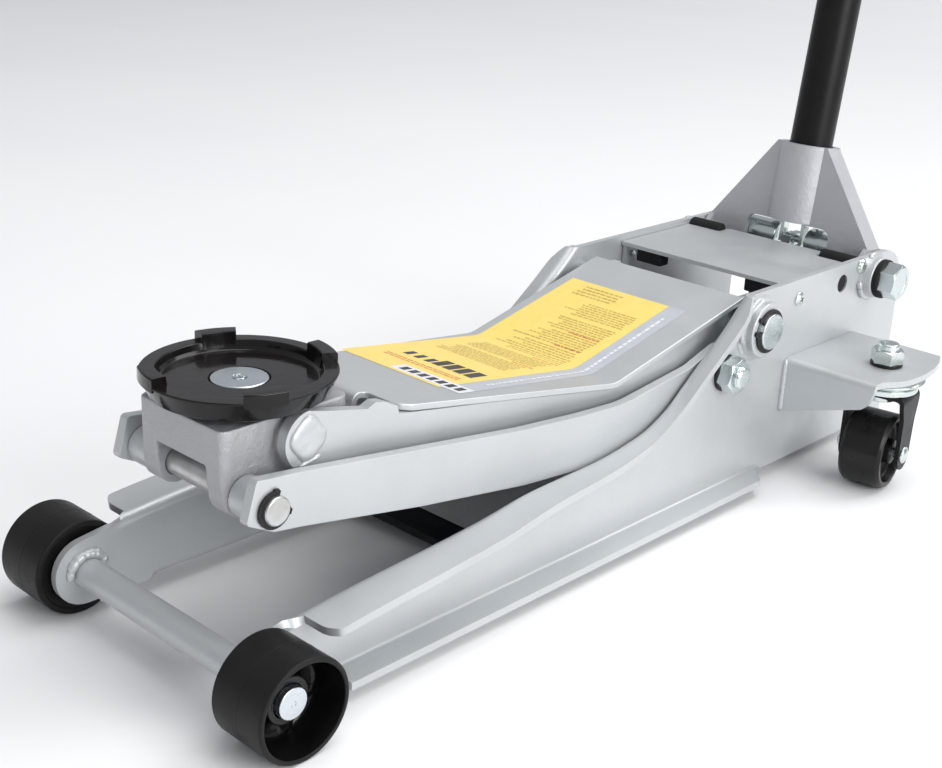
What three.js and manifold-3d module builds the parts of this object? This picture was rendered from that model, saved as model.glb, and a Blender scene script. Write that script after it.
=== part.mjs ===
// Low-profile hydraulic trolley jack: two bent side plates on front wheels and rear casters, a lift arm
// with level-keeping radius rods, a cast saddle carrier and saddle, the hydraulic unit, and a pump handle.
// Millimetres, +Z up. The jack points along -Y; its handle stands at the rear, towards +Y.
// Left and right are the operator's, standing behind the handle: left is +X.
import * as THREE from 'three';
import Module from 'manifold-3d';
import { mergeVertices } from 'three/addons/utils/BufferGeometryUtils.js';

const wasm = await Module();
wasm.setup();

// ---------------------------------------------------------------- driving dimensions
const GAP = 0.35; // space left between pieces that touch
const FRAME_Y = 376; // front axle to the middle of the jack's length
const RAD = Math.PI / 180;

const AXLE_Z = 30;
const AXLE_R = 9.5;
const AXLE_END_X = 113.6;
const WHEEL_R = 30;
const WHEEL_IN_X = 83.4;
const WHEEL_OUT_X = 123.4;

const PLATE_IN_X = 77.2; // inner face of a side plate
const PLATE_T = 5;
const PLATE_OUT_X = PLATE_IN_X + PLATE_T;
const PLATE_BOTTOM_Z = 9;
const PLATE_TOP_Z = 154.5;
const PLATE_REAR_Y = 668;
const FLANGE_T = 4.5;

const PIVOT = { y: 456.5, z: 128.4, r: 13.2, endX: 96.3 };
const UPPER_PIN = { y: 64.7, z: 138.5, r: 9 };
const LOWER_PIN = { y: 29, z: 112.5, r: 8.5 };
// The rod bolt sits from the main pivot as the lower carrier pin sits from the upper one, so the four
// pivots form a parallelogram that keeps the saddle level.
const ROD_BOLT = {
  y: PIVOT.y + LOWER_PIN.y - UPPER_PIN.y,
  z: PIVOT.z + LOWER_PIN.z - UPPER_PIN.z,
  r: 8,
};
const HANDLE_BOLT = { y: 614.6, z: 138.5, r: 8 };

const CHEEK_T = 7;
const CHEEK_X_FRONT = 50; // outer face beside the carrier
const CHEEK_X_REAR = 64; // outer face beside the main pivot
const ROD_T = 7;
const ROD_X_FRONT = 55; // inner face at the carrier
const ROD_X_REAR = 69; // inner face at the rod bolt
const ARM_PLATE_T = 4.2;

const SADDLE = { y: 55.6, bottom: 152.4, rim: 168.8, r: 55.7, ring: 9, lug: 5, lugAngles: [157, 74, -23, -106] };
const CARRIER_TOP = 152;

const HORN = { length: 55, angle: 21.65, pinR: 7, endR: 11, halfW: 9 }; // lever below the main pivot
const RAM = { z: 77, r: 12, slotY: 476.1 };
const CYLINDER = { r: 30, front: 508, rear: 596 };
const BLOCK = { front: 596.4, rear: 640, bottom: 40, top: 86 };

const COVER = { front: 499.5, rear: 606, notch: 591.4, top: 150.5, halfW: 76.4, t: 3 };
const BUMPER = { y: 598.5, z: 149, r: 6.6, inX: 48, outX: 76.8 };
const PLUG = { y: 573.5, z: 139.3, r: 7 }; // rubber plug in each side plate

const CASTER = { x: 140, y: 549, wheelR: 29.2, wheelW: 32, trail: 2.5, turn: 8.5 };
const FORK = { legIn: 19.6, legOut: 23.4, top: 77.4, t: 3.4, front: -18, rear: 18 };
const BRACKET = { top: 95, t: 4.5, front: 501, rear: 600 };

const LEAN = 7.5; // the handle leans back by this many degrees
const SOCKET = { y: 16.4, r: 24, bore: 18.6, bottom: 27, top: 90 }; // in the yoke's own frame
const YOKE = { webY: 3.3, t: 5, halfW: 76, halfTop: 23, foot: 8, shoulder: 17, depth: 20 };
const ROLLER = { y: 21, z: 11, r: 12, inX: 14, outX: 46 };
const PUMP = { x: 24, y: 632.5, top: 133.3, capR: 10, rodR: 6, barrelR: 10.4, barrelTop: 100 };
const VALVE = { y: 632, r: 11, cup: 8.6, bottom: 72, floor: 77, top: 106 };
const JOINT = { z: 12 }; // centre of the universal joint, in the yoke's frame
const HANDLE = { r: 17.25, bore: 15.2, lowerTop: 530, upperTop: 1002, plugZ: 31.5 };

// ---------------------------------------------------------------- materials
const paint = { color: 0xb9bdc2, roughness: 0.42, metalness: 0.55 };
const castPaint = { color: 0xa9adb2, roughness: 0.6, metalness: 0.5 };
const zinc = { color: 0xc9d2d8, roughness: 0.25, metalness: 0.95 };
const steel = { color: 0x8f8b86, roughness: 0.4, metalness: 0.9 };
const glossBlack = { color: 0x0d0d0e, roughness: 0.22, metalness: 0.3 };
const satinBlack = { color: 0x161618, roughness: 0.45, metalness: 0.2 };
const rubber = { color: 0x1b1b1c, roughness: 0.85, metalness: 0 };

// ---------------------------------------------------------------- geometry helpers
function place(geometry, matrix) {
  geometry.applyMatrix4(matrix);
  return geometry;
}

function basis(x, y, z) {
  return new THREE.Matrix4().makeBasis(new THREE.Vector3(...x), new THREE.Vector3(...y), new THREE.Vector3(...z));
}

const OUTLINE_YZ = basis([0, 1, 0], [0, 0, 1], [1, 0, 0]); // drawn in (y, z), thickened along +X
const OUTLINE_XZ = basis([1, 0, 0], [0, 0, 1], [0, -1, 0]); // drawn in (x, z), thickened along -Y

function shapeOf(outline) {
  return outline instanceof THREE.Shape ? outline : new THREE.Shape(outline.map(([u, v]) => new THREE.Vector2(u, v)));
}

function extrude(outline, depth, curveSegments = 8) {
  return new THREE.ExtrudeGeometry(shapeOf(outline), { depth, bevelEnabled: false, curveSegments });
}

// A plate drawn in (y, z) that fills x0..x1.
function sidewise(outline, x0, x1, curveSegments) {
  const g = place(extrude(outline, x1 - x0, curveSegments), OUTLINE_YZ);
  return g.translate(x0, 0, 0);
}

// A plate drawn in (x, y) that fills z0..z1.
function flat(outline, z0, z1, curveSegments) {
  return extrude(outline, z1 - z0, curveSegments).translate(0, 0, z0);
}

// A plate drawn in (x, z) that fills y0..y1.
function facing(outline, y0, y1, curveSegments) {
  const g = place(extrude(outline, y1 - y0, curveSegments), OUTLINE_XZ);
  return g.translate(0, y1, 0);
}

function box(x0, x1, y0, y1, z0, z1) {
  return new THREE.BoxGeometry(x1 - x0, y1 - y0, z1 - z0).translate((x0 + x1) / 2, (y0 + y1) / 2, (z0 + z1) / 2);
}

function rodX(r, x0, x1, y, z, segments = 14) {
  const g = new THREE.CylinderGeometry(r, r, x1 - x0, segments).rotateZ(-Math.PI / 2);
  return g.translate((x0 + x1) / 2, y, z);
}

function rodY(r, y0, y1, x, z, segments = 14) {
  return new THREE.CylinderGeometry(r, r, y1 - y0, segments).translate(x, (y0 + y1) / 2, z);
}

function rodZ(r, z0, z1, x, y, segments = 14) {
  const g = new THREE.CylinderGeometry(r, r, z1 - z0, segments).rotateX(Math.PI / 2);
  return g.translate(x, y, (z0 + z1) / 2);
}

// A hexagon head or nut on an axis along X, across flats, with two flats level.
function hexX(flats, x0, x1, y, z) {
  return rodX(flats / Math.sqrt(3), x0, x1, y, z, 6);
}

// A piece turned about Z from (radius, height) points, which may run either way round the section.
function turnedZ(profile, segments = 16) {
  const points = profile.map(([r, h]) => new THREE.Vector2(r, h));
  if (THREE.ShapeUtils.area(points) < 0) points.reverse();
  return new THREE.LatheGeometry(points, segments).rotateX(Math.PI / 2);
}

function turnedX(profile, segments = 16) {
  return turnedZ(profile, segments).rotateY(Math.PI / 2);
}

function arc(cy, cz, r, from, to, steps) {
  return Array.from({ length: steps + 1 }, (_, i) => {
    const a = (from + ((to - from) * i) / steps) * RAD;
    return [cy + r * Math.cos(a), cz + r * Math.sin(a)];
  });
}

function solid(geometry) {
  const g = geometry.clone();
  g.deleteAttribute('normal');
  g.deleteAttribute('uv');
  const merged = mergeVertices(g, 1e-4);
  return new wasm.Manifold(new wasm.Mesh({
    numProp: 3,
    vertProperties: new Float32Array(merged.attributes.position.array),
    triVerts: new Uint32Array(merged.index.array),
  }));
}

function geometryOf(manifold) {
  const mesh = manifold.getMesh();
  const g = new THREE.BufferGeometry();
  g.setAttribute('position', new THREE.BufferAttribute(new Float32Array(mesh.vertProperties), 3));
  g.setIndex(new THREE.BufferAttribute(new Uint32Array(mesh.triVerts), 1));
  g.computeVertexNormals();
  return g;
}

function joined(...geometries) {
  return geometries.map(solid).reduce((a, b) => a.add(b));
}

function cutBy(body, ...cutters) {
  return cutters.map(solid).reduce((a, b) => a.subtract(b), body);
}

function shared(a, b) {
  return solid(a).intersect(solid(b));
}

function mirrorX(geometry) {
  const g = geometry.clone().scale(-1, 1, 1);
  if (!g.index) g.setIndex([...Array(g.attributes.position.count).keys()]);
  const index = g.index.array;
  for (let i = 0; i < index.length; i += 3) {
    [index[i + 1], index[i + 2]] = [index[i + 2], index[i + 1]];
  }
  g.computeVertexNormals();
  return g;
}

// ---------------------------------------------------------------- scene
const assembly = new THREE.Group();
assembly.position.y = -FRAME_Y;

function add(name, shape, look, parent = assembly) {
  const geometry = shape.isBufferGeometry ? shape : geometryOf(shape);
  const mesh = new THREE.Mesh(geometry, new THREE.MeshStandardMaterial(look));
  mesh.name = name;
  parent.add(mesh);
  return mesh;
}

// The piece as drawn on the +X side, and its mirror image.
function addPair(name, shape, look) {
  const geometry = shape.isBufferGeometry ? shape : geometryOf(shape);
  add(`${name}_left`, geometry, look);
  add(`${name}_right`, mirrorX(geometry), look);
}

// ---------------------------------------------------------------- chassis
const SLOPE = [ // the side plate's top edge, front to rear
  [17, 53.7], [31.5, 57.2], [167, 66.8], [221, 72.5], [280, 74], [327, 80], [356, 90], [375, 103],
  [394, 116], [417, 131], [438, 143.5], [446, 153],
];

function sidePlate(handleBoss) {
  const nose = arc(0, AXLE_Z, 21, 270, 100, 12);
  const tail = [[449, PLATE_TOP_Z], [631, PLATE_TOP_Z], ...arc(637, 124, 30.5, 78, 0, 5)];
  const outline = [...nose, ...SLOPE, ...tail, [PLATE_REAR_Y, PLATE_BOTTOM_Z]];
  const web = sidewise(outline, PLATE_IN_X, PLATE_OUT_X);

  const crest = SLOPE.slice(1, 11);
  const band = [...crest, ...crest.map(([y, z]) => [y + 1.2, z - FLANGE_T - 0.6]).reverse()];
  const bandPlan = [
    [PLATE_IN_X + 0.5, 31.5], [86, 30], [100, 31], [106, 33.5], [109, 38], [107, 160], [96, 318], [92, 360],
    [92, 445], [PLATE_IN_X + 0.5, 445],
  ];
  const top = shared(sidewise(band, PLATE_IN_X, 112), flat(bandPlan, 40, 160));

  const skirtPlan = [[PLATE_IN_X + 1, 50], [100.5, 52], [100.5, 457], [PLATE_IN_X + 1, 473]];
  const skirt = solid(flat(skirtPlan, PLATE_BOTTOM_Z, PLATE_BOTTOM_Z + 4));

  const bosses = [rodX(20.5, PLATE_OUT_X - 1, 92, PIVOT.y, PIVOT.z, 20)];
  if (handleBoss) bosses.push(rodX(13.5, PLATE_OUT_X - 1, 93, HANDLE_BOLT.y, HANDLE_BOLT.z));
  return cutBy(
    solid(web).add(top).add(skirt).add(joined(...bosses)),
    rodX(PIVOT.r + GAP, 60, 110, PIVOT.y, PIVOT.z, 20),
    rodX(ROD_BOLT.r + GAP, 60, 110, ROD_BOLT.y, ROD_BOLT.z),
    rodX(HANDLE_BOLT.r + GAP, 60, 110, HANDLE_BOLT.y, HANDLE_BOLT.z),
    rodX(AXLE_R + GAP, 60, 110, 0, AXLE_Z),
    rodX(PLUG.r, 60, 110, PLUG.y, PLUG.z, 16),
    rodX(2.9, 60, 110, 510.4, 139.5, 10),
    rodX(3.4, 60, 110, BUMPER.y, BUMPER.z, 10),
  );
}

function chassis() {
  add('side_plate_left', sidePlate(true), paint);
  add('side_plate_right', mirrorX(geometryOf(sidePlate(false))), paint);
  addPair('plate_plug', rodX(PLUG.r - GAP, PLATE_IN_X, PLATE_OUT_X - 1.2, PLUG.y, PLUG.z, 16), rubber);
  const inner = PLATE_IN_X - GAP;
  add('front_axle', rodX(AXLE_R, -AXLE_END_X, AXLE_END_X, 0, AXLE_Z), zinc);
  add('cross_strap', box(-inner, inner, 206, 232.5, 10, 16), satinBlack);
}

function frontWheel() {
  const bore = AXLE_R + GAP;
  const hubOut = 109.5;
  const profile = [
    [bore, WHEEL_IN_X + 4], [15, WHEEL_IN_X + 4], [26, WHEEL_IN_X], [28.6, WHEEL_IN_X], [WHEEL_R, WHEEL_IN_X + 1.6],
    [WHEEL_R, WHEEL_OUT_X - 1.6], [28.6, WHEEL_OUT_X], [26.6, WHEEL_OUT_X], [25.4, 99.5], [14.5, 99.5],
    [14.5, hubOut], [bore, hubOut], [bore, WHEEL_IN_X + 4],
  ];
  const rib = box(99, 103.5, 13.5, 25.8, AXLE_Z - 1.6, AXLE_Z + 1.6).translate(0, 0, -AXLE_Z);
  const ribs = Array.from({ length: 6 }, (_, i) => rib.clone().rotateX((i * Math.PI) / 3));
  return joined(turnedX(profile, 24), ...ribs).translate([0, 0, AXLE_Z]);
}

// ---------------------------------------------------------------- rear casters
function casterBracket() {
  const { top, t, front, rear } = BRACKET;
  const inX = PLATE_OUT_X + GAP;
  const plan = [
    [inX, front], [157.5, front], [158, 511], [163.6, 518.6], [168, 528], [170, 541], [170, 556.5], [168, 572.5],
    [164.1, 586.4], [158.4, rear], [inX, rear],
  ];
  const apron = [[inX, top], [inX, 52], [150.4, 74.2], [156.3, 84.5], [157.5, top]];
  return cutBy(
    joined(flat(plan, top - t, top), facing(apron, front, front + t)),
    rodZ(8.4, 80, 110, CASTER.x, CASTER.y),
  );
}

function casterRace() {
  const top = BRACKET.top - BRACKET.t - GAP;
  const bottom = FORK.top + GAP;
  return turnedZ([
    [8.4, bottom], [25.5, bottom], [25.5, 82], [22, 82.6], [29.8, 85.6], [29.8, 87], [24, top], [8.4, top], [8.4, bottom],
  ]).translate(CASTER.x, CASTER.y, 0);
}

function kingpin() {
  const { x, y } = CASTER;
  const under = FORK.top - FORK.t - GAP;
  const nut = rodZ(21.5 / Math.sqrt(3), 98, 107.4, x, y, 6);
  return joined(
    rodZ(8, under - 3, 112.6, x, y), rodZ(11.5, under - 5, under, x, y),
    rodZ(12, BRACKET.top + GAP, 98.2, x, y), nut,
  );
}

// The fork is built on the swivel axis with its trail along -Y, then turned to where it points.
function casterFork() {
  const { legIn, legOut, top, t, front, rear } = FORK;
  const side = [
    ...arc(1, CASTER.wheelR - 1, 12, 190, 350, 8), [15.5, 46], [rear - 2, top - 8], [rear - 2, top], [front + 4, top],
    [front + 5, 52],
  ];
  const leg = sidewise(side, legIn, legOut);
  const body = joined(box(-legOut, legOut, front, rear, top - t, top), leg, mirrorX(leg));
  return cutBy(body, rodZ(8.5, 70, 90, 0, 0), rodX(4.4, -30, 30, -CASTER.trail, CASTER.wheelR, 14));
}

function casterWheel() {
  const h = CASTER.wheelW / 2;
  return turnedX([
    [4.4, -h], [9, -h], [9, -h + 7], [22.5, -h + 7], [23.7, -h], [27, -h], [CASTER.wheelR, -h + 2.4],
    [CASTER.wheelR, h - 2.4], [27, h], [23.7, h], [22.5, h - 7], [9, h - 7], [9, h], [4.4, h], [4.4, -h],
  ], 20).translate(0, -CASTER.trail, CASTER.wheelR);
}

function casterRivet() {
  const at = [-CASTER.trail, CASTER.wheelR];
  const seat = FORK.legOut + GAP;
  const head = rodX(6.6, seat, seat + 3.2, ...at, 14);
  return joined(rodX(4, -seat - 1, seat + 1, ...at, 14), head, mirrorX(head));
}

function casters() {
  addPair('caster_bracket', casterBracket(), paint);
  addPair('caster_race', casterRace(), zinc);
  addPair('caster_kingpin', kingpin(), zinc);
  for (const [side, sign] of [['left', 1], ['right', -1]]) {
    const swivel = new THREE.Group();
    swivel.position.set(sign * CASTER.x, CASTER.y, 0);
    swivel.rotation.z = CASTER.turn * RAD;
    assembly.add(swivel);
    add(`caster_fork_${side}`, casterFork(), satinBlack, swivel);
    add(`caster_wheel_${side}`, casterWheel(), satinBlack, swivel);
    add(`caster_rivet_${side}`, casterRivet(), zinc, swivel);
  }
}

// ---------------------------------------------------------------- cover, screws and bolts on the side plates
function rearCover() {
  const { front, rear, notch, top, halfW, t } = COVER;
  const plan = [[-halfW, front], [halfW, front], [halfW, notch], [46, notch], [46, rear], [-46, rear], [-46, notch],
    [-halfW, notch]];
  const tab = box(halfW - t, halfW, front + 2, 548, 131, top - 1);
  return cutBy(joined(flat(plan, top - t, top), tab, mirrorX(tab)), rodX(2.9, -90, 90, 510.4, 139.5, 10));
}

function domeScrew(shank, head, rise, x0, y, z) {
  const seat = PLATE_OUT_X + GAP;
  const profile = [[0, x0], [shank, x0], [shank, seat], [head, seat], [head * 0.8, seat + rise * 0.7], [0, seat + rise]];
  return turnedX(profile, 12).translate(0, y, z);
}

function hexBolt(at, { x0, washerR, washerT, headFlats, headT, seat, endX }) {
  return joined(
    rodX(at.r, x0, endX, at.y, at.z),
    rodX(washerR, seat, seat + washerT + 0.1, at.y, at.z),
    hexX(headFlats, seat + washerT, seat + washerT + headT, at.y, at.z),
  );
}

function fittings() {
  add('rear_cover', rearCover(), paint);
  addPair('cover_screw', domeScrew(2.5, 5.4, 3, 72, 510.4, 139.5), zinc);
  addPair('bumper_screw', domeScrew(3, 5, 4, 60.5, BUMPER.y, BUMPER.z), zinc);
  addPair('bumper', turnedX([
    [0, BUMPER.inX], [BUMPER.r, BUMPER.inX], [BUMPER.r, BUMPER.outX], [3.4, BUMPER.outX], [3.4, 60], [0, 60],
  ], 14).translate(0, BUMPER.y, BUMPER.z), rubber);

  const rodBolt = hexBolt(ROD_BOLT, {
    x0: 64.6, washerR: 13, washerT: 2.6, headFlats: 24, headT: 10, seat: PLATE_OUT_X + GAP, endX: 99.3,
  });
  addPair('rod_bolt', rodBolt.add(solid(rodX(11, 64.6, 68.6, ROD_BOLT.y, ROD_BOLT.z))), zinc);
  add('handle_bolt_left', hexBolt(HANDLE_BOLT, {
    x0: 62, washerR: 15, washerT: 4, headFlats: 25, headT: 13, seat: 93 + GAP, endX: 100,
  }), zinc);
  add('handle_bolt_right', mirrorX(geometryOf(hexBolt(HANDLE_BOLT, {
    x0: 62, washerR: 12, washerT: 1.6, headFlats: 22, headT: 6.4, seat: PLATE_OUT_X + GAP, endX: 86,
  }))), zinc);
  add('main_pivot_pin', joined(
    rodX(PIVOT.r, -PIVOT.endX, PIVOT.endX, PIVOT.y, PIVOT.z, 20),
    rodX(16.3, 92 + GAP, 94, PIVOT.y, PIVOT.z, 20), rodX(16.3, -94, -92 - GAP, PIVOT.y, PIVOT.z, 20),
  ), zinc);
}

// ---------------------------------------------------------------- lift arm
const ARM_TOP = { rear: [457, 147.5], bend: [315, 115.5], front: [120, 143.6] };
const ARM_FRONT = { cutY: 131, tongueX: 22, tongueBottom: 124 }; // the middle runs on and turns down

function armTop(y) {
  const [a, b] = y < ARM_TOP.bend[0] ? [ARM_TOP.front, ARM_TOP.bend] : [ARM_TOP.bend, ARM_TOP.rear];
  return a[1] + ((b[1] - a[1]) * (y - a[0])) / (b[0] - a[0]);
}

// A bent bar seen from above: straight and close in at the front, splayed out, straight again at the rear.
function splayed(inFront, inRear, t, yBend0, yBend1, yEnd0, yEnd1) {
  return [
    [inFront, yEnd0], [inFront + t, yEnd0], [inFront + t, yBend0], [inRear + t, yBend1], [inRear + t, yEnd1],
    [inRear, yEnd1], [inRear, yBend1], [inFront, yBend0],
  ];
}

function armCheek() {
  const under = ARM_PLATE_T + GAP;
  const outline = [
    ...arc(UPPER_PIN.y, UPPER_PIN.z, 17.6, 235, 95, 12),
    [77, 152.5], [94, 148.8], [106.5, 145.8], [112.8, 148.5], [118.7, 147.4], [128.5, 142.4],
    [128.5, armTop(128.5) - under - 0.6],
    [ARM_TOP.bend[0], ARM_TOP.bend[1] - under], [ARM_TOP.rear[0], ARM_TOP.rear[1] - under - 0.5],
    ...arc(PIVOT.y, PIVOT.z, 23, 40, -90, 9),
    [425, 100], [372, 78], [ARM_TOP.bend[0], 67], [240, 73], [110, 106],
  ];
  const plan = splayed(CHEEK_X_FRONT - CHEEK_T, CHEEK_X_REAR - CHEEK_T, CHEEK_T, 110, 340, 30, 500);
  return cutBy(
    shared(sidewise(outline, 30, 80), flat(plan, 40, 180)),
    rodX(PIVOT.r + GAP, 30, 90, PIVOT.y, PIVOT.z, 20),
    rodX(UPPER_PIN.r + GAP, 30, 90, UPPER_PIN.y, UPPER_PIN.z),
  );
}

function armTopPlate() {
  const { rear, bend, front } = ARM_TOP;
  const low = ([y, z]) => [y, z - ARM_PLATE_T];
  const band = [front, bend, rear, low(rear), low(bend), low(front)];
  const { cutY, tongueX, tongueBottom } = ARM_FRONT;
  const half = [
    [tongueX, front[0]], [tongueX, cutY], [42, cutY], [48, cutY + 2.5], [52.2, cutY + 9], [66.8, bend[0]], [68.4, 440],
    [68.4, rear[0]],
  ];
  const plan = [...half, ...half.map(([x, y]) => [-x, y]).reverse()];
  const tongue = box(-tongueX, tongueX, front[0], front[0] + ARM_PLATE_T, tongueBottom, front[1] - 1);
  return shared(sidewise(band, -80, 80), flat(plan, 60, 180)).add(solid(tongue));
}

// The pivot tube with the lever that the ram pushes.
function armLever() {
  const x = CHEEK_X_REAR - CHEEK_T - GAP;
  const a = HORN.angle * RAD;
  const y = PIVOT.y + HORN.length * Math.sin(a);
  const z = PIVOT.z - HORN.length * Math.cos(a);
  const side = [Math.cos(a), Math.sin(a)];
  const flank = (cy, cz, r) => [[cy - r * side[0], cz - r * side[1]], [cy + r * side[0], cz + r * side[1]]];
  const [topFront, topRear] = flank(PIVOT.y, PIVOT.z, 17);
  const [endFront, endRear] = flank(y, z, HORN.endR);
  const lever = sidewise([topFront, endFront, endRear, topRear], -HORN.halfW, HORN.halfW);
  const under = armTop(430) - ARM_PLATE_T - GAP;
  const underRear = ARM_TOP.rear[1] - ARM_PLATE_T - GAP;
  const ceiling = [[430, under], [ARM_TOP.rear[0], underRear], [500, underRear], [500, 200], [430, 200]];
  return cutBy(
    joined(rodX(20, -x, x, PIVOT.y, PIVOT.z, 20), lever, rodX(HORN.endR, -HORN.halfW, HORN.halfW, y, z),
      rodX(HORN.pinR, -26, 26, y, z, 16)),
    rodX(PIVOT.r + GAP, -90, 90, PIVOT.y, PIVOT.z, 20), sidewise(ceiling, -90, 90),
  );
}

function frontPin() {
  const plug = [[0, 51.8], [7, 51.4], [12, CHEEK_X_FRONT + GAP], [UPPER_PIN.r - 0.5, CHEEK_X_FRONT + GAP]];
  const half = [...plug, [UPPER_PIN.r, CHEEK_X_FRONT]];
  const far = half.map(([r, x]) => [r, -x]);
  return turnedX([...far, ...half.reverse()], 18).translate(0, UPPER_PIN.y, UPPER_PIN.z);
}

function radiusRod() {
  const outline = [
    [11, 108], [18, 132], [52, 128], [216, 110.5], [314, 104], [387, 112], ...arc(ROD_BOLT.y, ROD_BOLT.z, 19, 110, -75, 11),
    [400, 83], [314, 66], [219, 72], [134, 82.5], [30, 98.5],
  ];
  const plan = splayed(ROD_X_FRONT, ROD_X_REAR, ROD_T, 50, 270, 5, 450);
  return cutBy(
    shared(sidewise(outline, 50, 80), flat(plan, 50, 150)),
    rodX(ROD_BOLT.r + GAP, 40, 90, ROD_BOLT.y, ROD_BOLT.z),
    rodX(LOWER_PIN.r + GAP, 40, 90, LOWER_PIN.y, LOWER_PIN.z),
  );
}

function arm() {
  addPair('arm_cheek', armCheek(), paint);
  add('arm_top_plate', armTopPlate(), paint);
  add('arm_lever', armLever(), paint);
  add('arm_front_pin', frontPin(), paint);
  addPair('radius_rod', radiusRod(), paint);
}

// ---------------------------------------------------------------- saddle and its carrier
function saddleCarrier() {
  const outline = [
    [14, CARRIER_TOP], [14.5, 120], ...arc(LOWER_PIN.y, LOWER_PIN.z, 13.5, 175, 290, 7),
    [50, 108], [UPPER_PIN.y + 9, 120], [94, 131], [104, 141], [104, CARRIER_TOP],
  ];
  return cutBy(
    solid(sidewise(outline, -38, 38)).add(solid(rodX(15, -42.5, 42.5, UPPER_PIN.y, UPPER_PIN.z - 2.4))),
    box(-22, 22, -10, 50, 80, 128), box(-26, 26, 78, 130, 100, 141),
    rodX(UPPER_PIN.r + GAP, -80, 80, UPPER_PIN.y, UPPER_PIN.z), rodX(LOWER_PIN.r + GAP, -80, 80, LOWER_PIN.y, LOWER_PIN.z),
    rodZ(6.4, 147.8, 170, 0, SADDLE.y, 14),
  );
}

function lowerPin() {
  const collar = rodX(12, 38 + GAP, ROD_X_FRONT - GAP, LOWER_PIN.y, LOWER_PIN.z);
  return joined(rodX(LOWER_PIN.r, -66, 66, LOWER_PIN.y, LOWER_PIN.z), collar, mirrorX(collar));
}

function pinClip() {
  const x = ROD_X_FRONT + ROD_T + GAP;
  const r = LOWER_PIN.r + GAP;
  return turnedX([[r, x], [13, x], [13, x + 1.4], [r, x + 1.4], [r, x]], 18).translate(0, LOWER_PIN.y, LOWER_PIN.z);
}

function saddle() {
  const { bottom, rim, r, ring, lug, lugAngles } = SADDLE;
  const floor = rim - 5.9;
  const dish = turnedZ([
    [6.5, bottom], [30, bottom], [30, 156.4], [50.4, 156.4], [r, rim], [r - ring, rim], [r - ring - 0.6, floor],
    [17.2, floor], [17.2, floor - 3], [6.5, floor - 3], [6.5, bottom],
  ], 28);
  const lugShape = box(r - ring, r + 0.3, -12.5, 12.5, rim - 2, rim + lug);
  const lugs = lugAngles.map((a) => lugShape.clone().rotateZ(a * RAD));
  const cup = turnedZ([[0, bottom], [r - 2, 157.6], [r + 0.2, rim + lug + 1], [0, rim + lug + 1]], 28);
  return joined(dish, ...lugs).intersect(solid(cup).add(solid(rodZ(r - 3, bottom, 158, 0, 0, 28))));
}

function saddleScrew() {
  const floor = SADDLE.rim - 5.9;
  const shank = rodZ(6, 148.2, floor - 2, 0, 0, 14);
  const head = rodZ(16.5, floor - 2.6, floor, 0, 0, 20);
  return cutBy(joined(shank, head), rodZ(4, floor - 2, floor + 3, 0, 0, 6));
}

function saddleGroup() {
  add('saddle_carrier', saddleCarrier(), castPaint);
  add('carrier_lower_pin', lowerPin(), steel);
  addPair('pin_clip', pinClip(), zinc);
  add('saddle', saddle().translate([0, SADDLE.y, 0]), glossBlack);
  add('saddle_screw', saddleScrew().translate([0, SADDLE.y, 0]), zinc);
}

// ---------------------------------------------------------------- hydraulic unit
function hydraulicBlock() {
  const { front, rear, bottom, top } = BLOCK;
  const wide = PLATE_IN_X - GAP;
  const barrel = rodZ(PUMP.barrelR, top - 1, PUMP.barrelTop, PUMP.x, PUMP.y);
  const bore = rodZ(PUMP.rodR + GAP, 46, 120, PUMP.x, PUMP.y, 16);
  return cutBy(
    joined(box(-wide, wide, front, rear, bottom, 64), box(-46, 46, front, 646, bottom, top), barrel, mirrorX(barrel)),
    bore, mirrorX(bore), rodZ(VALVE.r + GAP, VALVE.bottom - 2, 120, 0, VALVE.y, 16),
  );
}

function cylinder() {
  const { r, front, rear } = CYLINDER;
  return turnedZ([
    [0, -rear], [r, -rear], [r, -front - 12], [r - 3, -front], [RAM.r + GAP, -front], [RAM.r + GAP, 5 - rear], [0, 5 - rear],
  ], 20).rotateX(Math.PI / 2).translate(0, 0, RAM.z);
}

function ram() {
  const y = RAM.slotY;
  const slot = HORN.pinR + 1.4;
  const wide = HORN.halfW + 1.4;
  return cutBy(
    joined(box(-30, 30, y - 19, y + 19, 60, 94), rodY(RAM.r, y + 18, 578, 0, RAM.z)),
    sidewise([[y - 30, 50], [y + 13, 50], [y + 13, 74], [y + 29, 96], [y + 29, 110], [y - 30, 110]], -wide, wide),
    box(-40, 40, y - slot, y + slot, 64.8, 110),
  );
}

function pumpPlunger() {
  const { top, capR, rodR } = PUMP;
  return turnedZ([
    [0, 74], [rodR - 1, 74], [rodR, 76], [rodR, top - 4], [capR, top - 4], [capR, top - 1], [capR - 1, top], [0, top],
  ], 16).translate(PUMP.x, PUMP.y, 0);
}

function releaseValve() {
  const { y, r, cup, bottom, floor, top } = VALVE;
  return turnedZ([[0, bottom], [r, bottom], [r, top], [cup, top], [cup, floor], [0, floor]]).translate(0, y, 0);
}

function hydraulics() {
  add('hydraulic_block', hydraulicBlock(), castPaint);
  add('hydraulic_cylinder', cylinder(), paint);
  add('ram', ram(), steel);
  addPair('pump_plunger', pumpPlunger(), zinc);
  add('release_valve', releaseValve(), zinc);
}

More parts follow.
